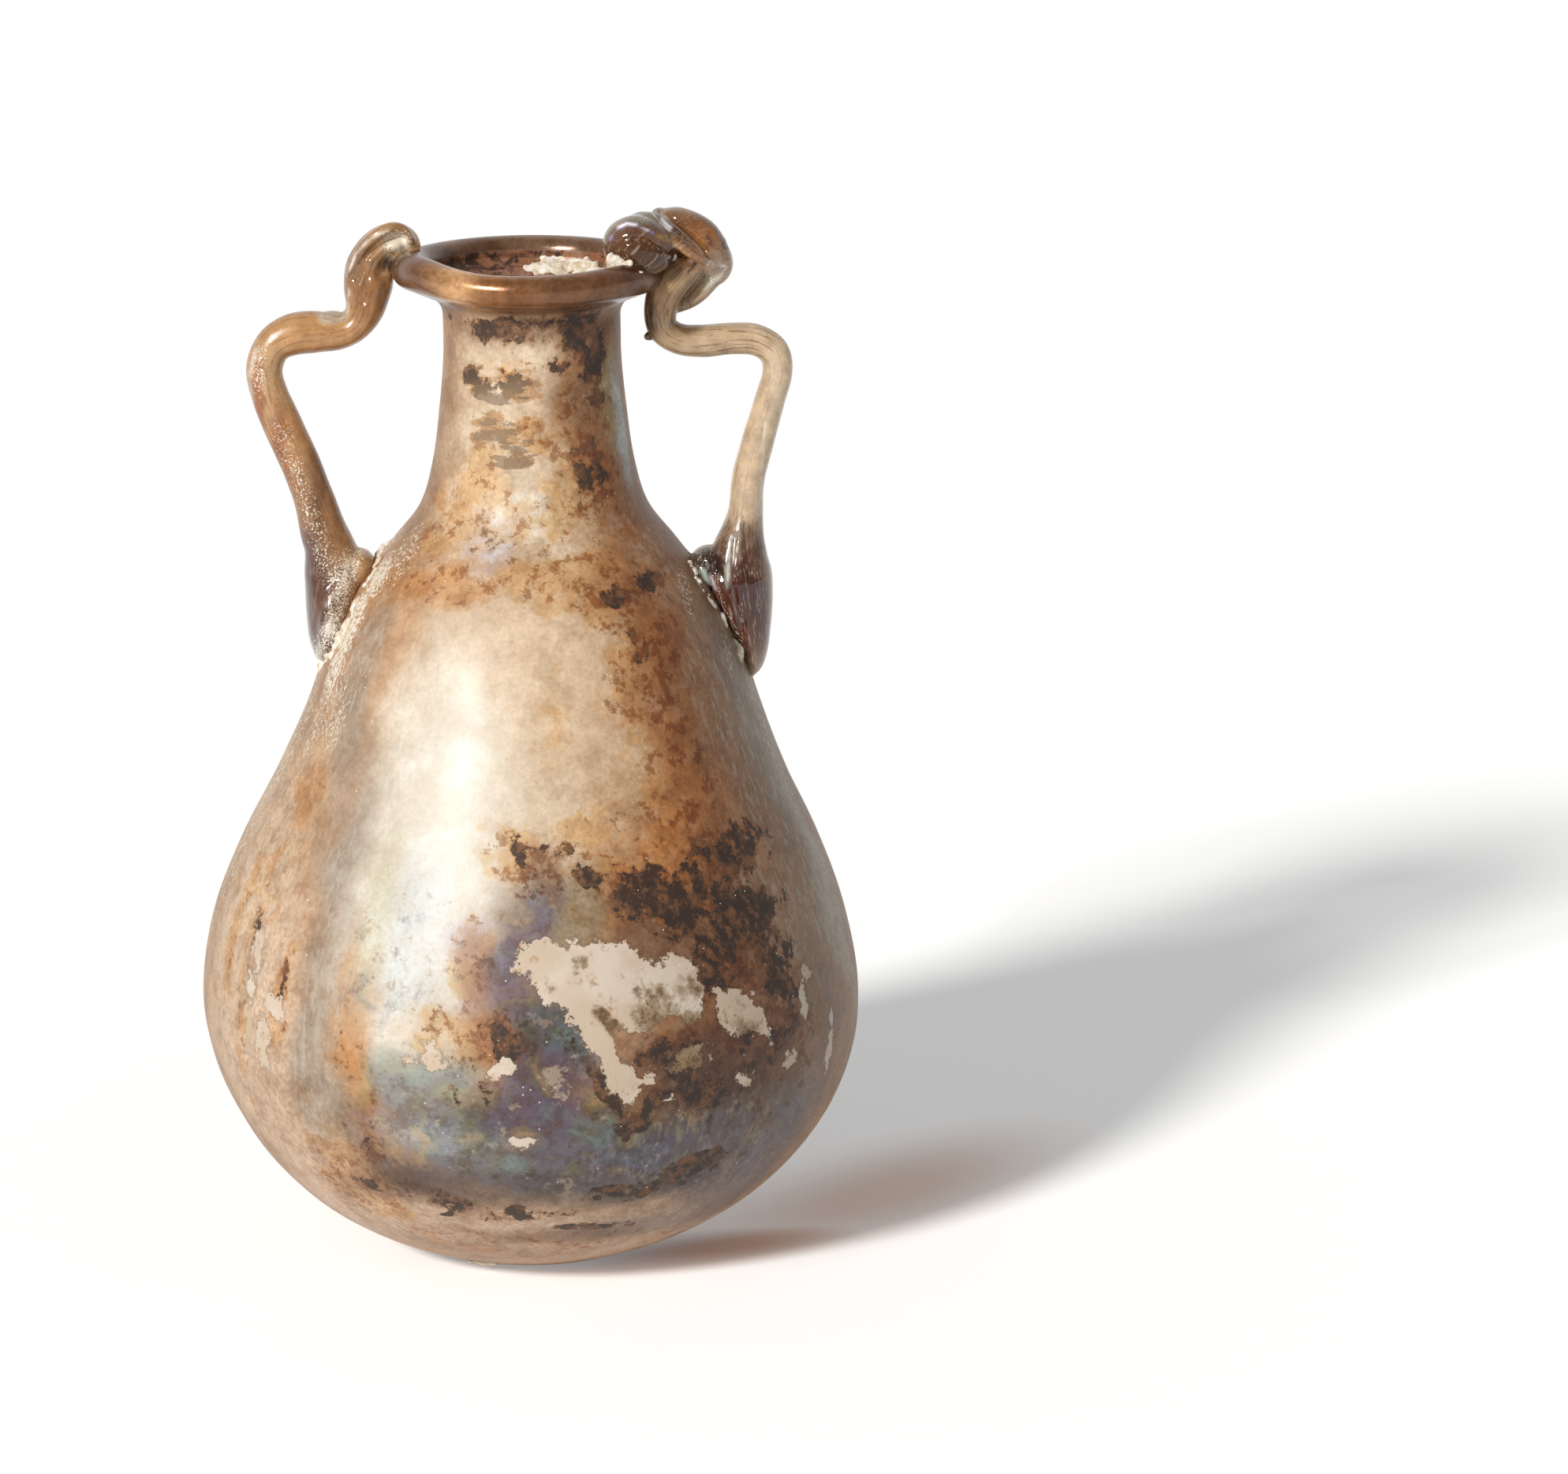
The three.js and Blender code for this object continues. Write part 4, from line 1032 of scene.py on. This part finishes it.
# Spots: colour, middle, half sizes, strength. Glints: colour, line, width, strength
# Spots down the rod's outer edge at -31.2 and -33.9, and the darker one on its inner side at -26.4, are
# painted edge shade of the thick amber glass; the near-black spot in the fold's deep hollow at -17.3 is
# painted shade there, with dark soil in it. The glints on the pad and down the rod's outer bend are painted
# highlights.
left_glint_share = tinted_with_glints(left_handle, honey, [
    ((160, 112, 76), -27, 95, 4, 9, 0.7), ((222, 190, 148), -32, 112, 2.6, 5, 0.5),
    ((206, 156, 104), -23, 117.5, 5, 3, 0.7), ((150, 106, 70), -21.5, 125.5, 3, 4.5, 0.75),
    ((170, 116, 66), -18.8, 121.5, 2, 3.4, 0.7), ((206, 186, 152), -17, 128.6, 1.8, 2, 0.5),
    ((84, 54, 52), -27.8, 83.5, 2.8, 8, 0.95), ((104, 70, 62), -27.8, 89.5, 2.2, 4, 0.8),
    ((112, 78, 66), -26, 80, 2.4, 3.4, 0.8), ((96, 60, 40), -17.8, 122.4, 0.9, 2.4, 0.7),
    ((198, 172, 142), -23.4, 88, 1.6, 2, 0.4), ((120, 86, 70), -25.2, 85, 2.8, 5, 0.75),
    ((176, 98, 52), -33.9, 109, 0.9, 6, 0.8), ((232, 222, 204), -24.6, 120.4, 1.9, 0.9, 0.9),
    ((48, 34, 28), -17.3, 126.5, 1.3, 1, 0.95), ((170, 96, 52), -31.2, 101, 1.3, 8, 0.8),
    ((112, 78, 52), -26.4, 99, 1, 6, 0.6), ((150, 92, 50), -24, 115.4, 6, 0.8, 0.6),
], [
    ((244, 238, 228), [(-22.4, 125.6), (-21.4, 128), (-19.6, 130), (-17.4, 131)], 0.22, 0.8),
    ((240, 234, 232), [(-25.1, 81.2), (-24.1, 82.6)], 0.8, 0.9),
    ((232, 224, 214), [(-34.6, 108.6), (-35, 112.6), (-34, 116)], 0.35, 0.6),
    ((240, 230, 214), [(-22.6, 120.4), (-22.3, 123.4)], 0.25, 0.5),
    ((224, 214, 206), [(-22.6, 89.4), (-23.6, 86.6), (-25.4, 84.4)], 0.3, 0.6),
])
routed(left_handle, left_pad + left_rod)
left_places = places_of(left_handle)
left_level = left_places[:, 2]
put(left_handle, "clear", (1 - left_glint_share) * (0.4 + 0.2 * rising(left_level, 116, 8)))
put(left_handle, "sleek", 0.8 * np.maximum(rising(left_level, 120, 4), rising(left_level, 92, -4)))
put(left_handle, "dusty", (
    0.6 * line_bell(left_places, [(-22, 90), (-22.6, 87), (-25, 81), (-27, 77)], 1.6)
    + 1.2 * spot_bell(left_places, -16.2, 129.4, 2, 1.5)
    + 0.5 * spot_bell(left_places, -33.6, 113.5, 1.6, 4)
    + 0.4 * line_bell(left_places, [(-31, 106), (-27, 94), (-25, 88)], 2)
))
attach(left_handle, "root")
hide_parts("left_handle")


def handle_glass(name, line_depth, rough):
    """Drawn glass of a handle: its tint with painted glints, dark hair lines along the trail, pits and
    dust.
    """
    material, spot, shader = new_material(name)
    drawn = stretched(attribute(spot, "route", "Vector"), (0.02, 1, 1))
    hair = field("TexNoise", {"Vector": drawn, "Scale": 3.2, "Detail": 4, "Roughness": 0.62})
    mottle = noise(spot, 1.8, 6, 0.62)
    grit = noise(spot, 0.35, 3, 0.55)
    powder = noise(spot, 0.24, 3, 0.6)
    sleek = attribute(spot, "sleek")
    plain = 1.0 - sleek * 0.96
    pit_share = band(grit, 0.66, 0.7)
    dust_share = broken(attribute(spot, "dusty"), powder, 2.8, 0.5, 0.66)
    tint_with_glints = mixed(1.0, attribute(spot, "tint", "Color"), band(mottle, 0.3, 0.7, 0.74, 1.12), "MULTIPLY")
    tint_with_glints = mixed(band(hair, 0.55, 0.62) * line_depth * plain, tint_with_glints, (0.36, 0.24, 0.16, 1), "MULTIPLY")
    tint_with_glints = mixed(band(hair, 0.46, 0.4) * (line_depth * 0.3), tint_with_glints, colour_of(226, 208, 184))
    tint_with_glints = mixed(pit_share * 0.6, tint_with_glints, colour_of(70, 48, 36))
    tint_with_glints = mixed(dust_share * 0.85, tint_with_glints, colour_of(232, 222, 204))
    dull = band(mottle, 0.3, 0.7, rough, rough + 0.14) + dust_share * 0.4
    feed(shader, {
        "Base Color": tint_with_glints,
        "Transmission Weight": attribute(spot, "clear") * (1.0 - dust_share),
        "Roughness": dull * (1.0 - sleek * 0.5),
        "IOR": 1.5,
        "Specular IOR Level": 0.3,
        "Coat Weight": (sleek * 0.45 + 0.25) * (1.0 - attribute(spot, "dim")),
        "Coat Roughness": 0.06,
        "Normal": dents(hair * 0.6 * plain + dust_share * 0.4 - pit_share * 0.4, strength=0.5, depth=0.15),
    })
    return material


left_handle.data.materials.append(handle_glass("amber_trail_glass", line_depth=0.45, rough=0.17))


# Right handle: a second, paler trail of glass, laid on the same way. Its end was drawn over the
# rim, folded back on itself and pressed down into a knot, which leaves a thin drawn-out tail.
right_rod = [
    (26.8, 0, 92.8, 2.7, 3.2), (27.2, 0, 95.5, 2.2, 2.5), (27.5, 0, 99.5, 2.1, 2.2),
    (28.7, -0.2, 104.2, 2.05, 2.1), (30.2, -0.4, 109.5, 1.95, 2), (31.2, -0.6, 113.2, 1.9, 2),
    (30.7, -0.8, 115.8, 1.95, 2), (28.6, -1, 117.3, 2, 2), (25.5, -1.2, 117.55, 2, 2),
    (21.8, -1.5, 117.3, 2.05, 2.1), (18.9, -1.7, 117.6, 1.95, 2.1), (16.9, -1.9, 119, 1.9, 2.1),
    (16.6, -2.2, 121.4, 2.1, 2.2), (17.3, -2.5, 123.8, 2.25, 2.3), (18.9, -2.6, 125.9, 2.2, 2.3),
    (20.8, -2.6, 127.6, 1.8, 2.2), (22.3, -2.4, 128.4, 1.2, 1.9),
]
right_pad = [
    (27.6, -0.3, 74.3, 0.6, 1.2), (28.2, -0.3, 75.8, 1.25, 2.4), (28.1, -0.3, 77.7, 2, 3.1),
    (27.6, -0.2, 80.5, 2.9, 3.8), (27, -0.1, 83.5, 3.7, 4.5), (26.5, 0, 86.5, 4.1, 5),
    (26.3, 0, 88.8, 3.9, 4.4), (26.5, 0, 91, 3.3, 3.7),
]
knot_tail = [
    (22.8, -1.2, 128.8, 2.4, 2.2), (23.9, -1, 127.2, 1.8, 2), (23.8, -1, 126, 1.5, 1.7),
    (22.9, -0.8, 124.9, 1.2, 1.4), (21.6, -0.8, 123.3, 1.05, 1.2), (20.2, -1, 122.2, 0.9, 1.1),
    (18.8, -1.2, 121.4, 0.6, 0.9),
]
knot_back_fold = [
    (16.6, -1, 132.6, 1.5, 2), (18.6, -1.1, 131.8, 2.5, 2.5), (20.6, -1.1, 130.2, 3.2, 2.7),
    (22.2, -1.2, 128.6, 3, 2.6), (23.2, -1.2, 127.4, 2.2, 2.2),
]
knot_front_fold = [
    (12.8, -2.6, 132.2, 1, 1.6), (14.4, -3.6, 132.8, 1.2, 1.7), (16.2, -4.6, 132.6, 1.3, 1.8),
    (18, -5.1, 131.4, 1.35, 1.8), (19.8, -5.2, 129.9, 1.3, 1.7), (21.2, -4.8, 128.6, 1.1, 1.4),
    (22.6, -3.8, 127.7, 0.7, 1),
]
right_handle = fused("right_handle_glass", [
    hug(trail(right_pad + right_rod, 200)),
    trail(knot_tail, 40),
    trail(knot_back_fold, 40),
    trail(knot_front_fold, 40),
    hug(lump((22.6, 0, 88.2), (2.8, 3.6, 2.7), -36)),
    lump((14.1, -5.4, 130), (3.8, 4.1, 4.6), 100),
    lump((14.4, -2, 131), (2.2, 2.6, 3.3), 75),
    trail([(21.8, -1.4, 127.6, 1, 1), (20.6, -1.4, 125.6, 0.9, 1), (19.4, -1.3, 123.6, 0.7, 0.8)], 16),
    lump((15.1, -1.9, 117.95), (0.6, 0.5, 0.55)),
], grain=0.18, rounds=5)
creased(right_handle, [
    ([(15.9, 134.4), (17.6, 133.1), (19.6, 131.5), (21.8, 129.7), (23, 128.6)], 0.6, 0.32, -1),
    ([(13.4, 131.6), (15.4, 131.7), (17.2, 130.4), (19.2, 128.7), (21.1, 127.2)], 0.6, 0.34, -1),
    ([(10.8, 130.6), (12.5, 131.4), (14.1, 131.5), (16.1, 130.6), (17.6, 129.2),
     (18.5, 127.4)], 0.2, 0.42, -1),
    ([(20.4, 126.6), (21.4, 127.4), (22.8, 127.4)], 0.5, 0.3, -1),
    ([(15, 133.5), (18.4, 131.4), (21.6, 128.4)], 0.25, 0.4, 1),
    ([(27.2, 93), (27.6, 88), (27.2, 83), (26.4, 79)], 0.2, 0.45, -1),
    ([(25.8, 92.6), (25.4, 89), (25.9, 85), (26.6, 81.5)], 0.2, 0.4, -1),
    ([(22, 89.2), (24, 88.2), (25, 86)], 0.25, 0.4, -1),
    ([(27, 92), (27, 86), (27, 80)], 0.2, 0.45, 1),
])
bone = (224, 196, 162)
# Glints: the violet and white arcs on the ball, the short white line on the main lobe, the three lines on
# the pad and the line down the rod are painted highlights. The dark line laid in the crease below the front
# fold is painted shade in it.
right_glint_share = tinted_with_glints(right_handle, bone, [
    ((200, 170, 130), 22, 117.4, 6, 2.4, 0.6), ((170, 134, 90), 17, 121, 3, 4, 0.75),
    ((206, 148, 104), 16.8, 122.6, 1.6, 2, 0.6), ((84, 52, 36), 15, 121.4, 1, 3.6, 0.9),
    ((96, 62, 40), 20, 119.7, 2.2, 0.7, 0.8), ((166, 132, 88), 19, 125, 2.6, 2.4, 0.75),
    ((140, 86, 46), 20.5, 130.6, 5.6, 4.2, 0.95), ((176, 116, 62), 21.2, 130.2, 2.6, 2, 0.8),
    ((128, 88, 46), 19, 129.4, 1.6, 2.4, 0.6), ((146, 122, 100), 24.6, 128, 1.5, 3, 0.75),
    ((194, 180, 158), 23.2, 124.9, 1.8, 1.5, 0.8), ((150, 120, 90), 20.4, 122.6, 2, 1.4, 0.6),
    ((102, 62, 34), 13.8, 130, 5.2, 4, 0.98), ((68, 42, 26), 14.8, 128.6, 3.4, 1.9, 0.85),
    ((136, 118, 82), 14.4, 133.6, 1.8, 0.8, 0.85), ((120, 84, 62), 26.5, 91.5, 3.6, 3, 0.8),
    ((84, 36, 24), 26.4, 83, 5.6, 8.4, 0.98), ((60, 28, 22), 27.2, 85.4, 2, 4, 0.7),
    ((50, 32, 28), 22.4, 88.8, 2.8, 2, 0.98), ((196, 178, 160), 26, 92.4, 0.8, 2.6, 0.5),
    ((84, 52, 36), 24.6, 131.6, 0.8, 0.8, 0.6), ((228, 206, 176), 31.4, 111, 1.2, 8, 0.5),
], [
    ((176, 148, 206), [(10.5, 131.2), (11.2, 132.4), (12.5, 133.1), (14, 133), (15.8, 132.1)], 0.22, 0.8),
    ((252, 250, 255), [(11.4, 132.6), (12.6, 133.15), (14, 133.05), (15.2, 132.4)], 0.16, 1),
    ((255, 252, 255), [(16.8, 133.2), (17.5, 132.6), (17.9, 132.3)], 0.26, 1),
    ((84, 48, 30), [(18.6, 133), (19.6, 131.9), (20.6, 130.9)], 0.4, 0.75),
    ((70, 44, 34), [(22.5, 130.9), (22.9, 129.9)], 0.45, 0.8),
    ((196, 150, 92), [(16.6, 131.6), (18.4, 130.4), (20, 129)], 0.5, 0.6),
    ((56, 34, 24), [(15.4, 131.9), (17.2, 130.8), (19.4, 129), (21, 127.6)], 0.26, 0.85),
    ((246, 240, 236), [(22.4, 127.2), (23.2, 128.6), (23.1, 127.2), (24.6, 127)], 0.2, 0.8),
    ((232, 226, 214), [(24.9, 126.8), (23.6, 125.2), (22.2, 124)], 0.25, 0.6),
    ((222, 226, 218), [(25.3, 92.4), (25, 89.4), (24.9, 86.4)], 0.25, 0.75),
    ((190, 214, 200), [(21.8, 88.4), (22.6, 86.4)], 0.3, 0.8),
    ((236, 206, 220), [(22.8, 87.6), (23.4, 86)], 0.2, 0.7),
    ((246, 238, 226), [(28.9, 95), (29.4, 103), (29.7, 109)], 0.2, 0.5),
])
routed(right_handle, right_pad + right_rod)
right_places = places_of(right_handle)
right_level = right_places[:, 2]
knot_share = rising(right_level, 125.2, 2.6)
ball_share = spot_bell(right_places, 14.2, 129.2, 4.2, 3.6)
rod_share = rising(right_level, 93, 4) * rising(right_level, 116, -4)
pad_share = rising(right_level, 92, -4)
right_clear = np.clip(0.35 + 0.3 * knot_share - 0.7 * ball_share - 0.28 * pad_share, 0.03, 1)
put(right_handle, "clear", (1 - right_glint_share) * right_clear)
put(right_handle, "dim", 0.75 * ball_share)
put(right_handle, "sleek", np.maximum(knot_share, np.maximum(pad_share, 0.7 * rod_share)))
put(right_handle, "dusty", (
    0.3 * spot_bell(right_places, 14.6, 133.6, 1.4, 0.7)
    + 0.3 * line_bell(right_places, [(21.4, 90), (23.4, 87), (25, 83), (26.6, 79)], 0.7)
    + 0.5 * spot_bell(right_places, 23, 125.4, 2, 1)
))
right_handle.data.materials.append(handle_glass("pale_trail_glass", line_depth=0.8, rough=0.14))
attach(right_handle, "root")
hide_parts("right_handle")


# Soil crust: chalky burial deposit, left where cleaning tools don't reach: along the pads' seams,
# in the mouth and between rim and knot. A cream flake still clings to the foot.
profile_way = headings(profile)
profile_out = np.column_stack([profile_way[:, 1], -profile_way[:, 0]])


def on_glass(turns, runs, lift):
    """Places on the vessel's skin by bearing in degrees and run in mm, lifted off it in mm."""
    reach, level = (
        np.interp(runs, profile_run, profile[:, k]) + lift * np.interp(runs, profile_run, profile_out[:, k])
        for k in (0, 1)
    )
    turns = np.radians(turns)
    lean_there = np.interp(level, lean_heights, lean_offsets)
    return np.stack([reach * np.cos(turns) + lean_there, reach * np.sin(turns), level], -1)


def scab(turn, run, half_across, half_along, thick, seed):
    """Ragged low lump on the skin: across and along it reach by the sine of a polar angle, and
    its lift is the cosine times the thickness, its outline and top roughened by noise."""
    pole_gap = 0.08
    polar = np.linspace(pole_gap, np.pi - pole_gap, 22)[:, None]
    round_turn = np.linspace(0, 2 * np.pi, 44, endpoint=False)
    ring = np.stack([np.cos(round_turn), np.sin(round_turn), 0 * round_turn], -1)
    ragged = 1 + 0.3 * lattice_noise(ring, 0.8, seed) + 0.22 * lattice_noise(ring, 0.3, seed + 1)
    across = np.sin(polar) * np.cos(round_turn) * half_across * ragged
    along = np.sin(polar) * np.sin(round_turn) * half_along * ragged
    bumps = lattice_noise(np.stack([across, along, 0 * across], -1), 0.7, seed + 2)
    lift = np.cos(polar) * thick * (1 + 0.5 * bumps) * np.where(np.cos(polar) > 0, 1, 0.4)
    there = np.interp(run, profile_run, profile[:, 0])
    return on_glass(turn + np.degrees(across / there), run + along, lift)


def crusted(name, grids, node, grain=0.16):
    """Crust fused from its lumps, roughened, and put in place of its plain solid."""
    piece = fused(name, grids, grain, rounds=1)
    places = places_of(piece)
    raised(piece, 0.2 * lattice_noise(places, 0.9, 91) + 0.14 * lattice_noise(places, 0.4, 92))
    piece.data.materials.append(chalk)
    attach(piece, "root")
    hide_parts(node)


chalk, chalk_spot, chalk_shader = new_material("chalky_crust")
chalk_lumps = noise(chalk_spot, 1.1, 6, 0.65)
chalk_grit = noise(chalk_spot, 0.3, 4, 0.6)
chalk_colour = mixed(band(chalk_lumps, 0.4, 0.66), colour_of(238, 231, 218), colour_of(204, 182, 150))
feed(chalk_shader, {
    "Base Color": mixed(band(chalk_grit, 0.6, 0.7) * 0.5, chalk_colour, colour_of(132, 100, 72)),
    "Roughness": band(chalk_grit, 0.3, 0.7, 0.8, 0.95),
    "Normal": dents(chalk_lumps + chalk_grit, strength=0.7, depth=0.15),
})

# Half width of each pad where its front edge meets the wall, by height
left_seam = [
    (89.6, 1.6), (88.4, 3.6), (86.8, 5), (84.6, 6.2), (82, 6.9), (79.6, 6.9), (77.6, 5.2),
    (76.4, 2.4),
]
right_seam = [
    (89.6, 1.8), (88.2, 3.8), (86.6, 5.1), (84, 4.8), (81, 4.1), (78.6, 3.4), (76.6, 2.6),
]


def seam_crust(seam, middle, girth, seed):
    """Scabs in a row along a pad's seam, in front and behind, wandering and of uneven size."""
    draw = np.random.default_rng(seed)
    marks = flowing(np.column_stack([np.array(seam), np.zeros(len(seam))]), 21)
    grids = []
    for level, half in marks[:, :2]:
        for side in (-1, 1):
            turn = middle + side * math.degrees(half / wall_radius(level)) * (1 if middle > 90 else -1)
            size = girth * draw.choice([0.2, 0.4, 0.7, 1.1, 1.6])
            grids.append(scab(
                turn + draw.uniform(-1.5, 1.5), run_at(level) + draw.uniform(-0.7, 0.7),
                size * draw.uniform(0.7, 1.2), size * draw.uniform(1, 1.7), size * 0.45,
                int(draw.integers(1000)),
            ))
    return grids


left_scabs = seam_crust(left_seam, middle=180, girth=0.78, seed=5)
right_scabs = seam_crust(right_seam, middle=0, girth=0.55, seed=6)
crusted("left_pad_seam_crust", left_scabs, "left_pad_crust")
crusted("right_pad_seam_crust", right_scabs, "right_pad_crust")
throat_run = profile_run[throat_start]
crusted("mouth_crust_patch", [
    scab(74, throat_run + 2.0, 3.2, 2.0, 0.4, 11), scab(86, throat_run + 2.4, 1.8, 1.4, 0.35, 12),
    scab(60, throat_run + 1.8, 2.0, 1.7, 0.4, 13), scab(50, throat_run + 2.4, 1.2, 1.0, 0.3, 14),
], "mouth_crust")
crusted("rim_and_knot_crust", [
    lump((12, -3.2, 126.6), (1, 1.8, 0.9)), lump((11.4, -5.6, 127.4), (1.2, 1.8, 1.1), 20),
    lump((11.3, -8.4, 128.2), (1.3, 0.9, 1.2), 40), lump((12.6, -9.1, 127.6), (1.3, 0.4, 0.6), 110),
    lump((10.5, -8.5, 128.9), (0.5, 0.6, 0.9), 10), lump((14.2, -9.3, 127.4), (0.5, 0.3, 0.25), 0),
    lump((9.6, -9.2, 127.5), (0.7, 0.5, 0.35), 0),
], "rim_crust", grain=0.14)
crusted("foot_flake_patch", [
    scab(249, run_at(1.3), 1.9, 0.5, 0.35, 31), scab(254, run_at(1.1), 0.8, 0.35, 0.3, 32),
], "foot_flake", grain=0.14)
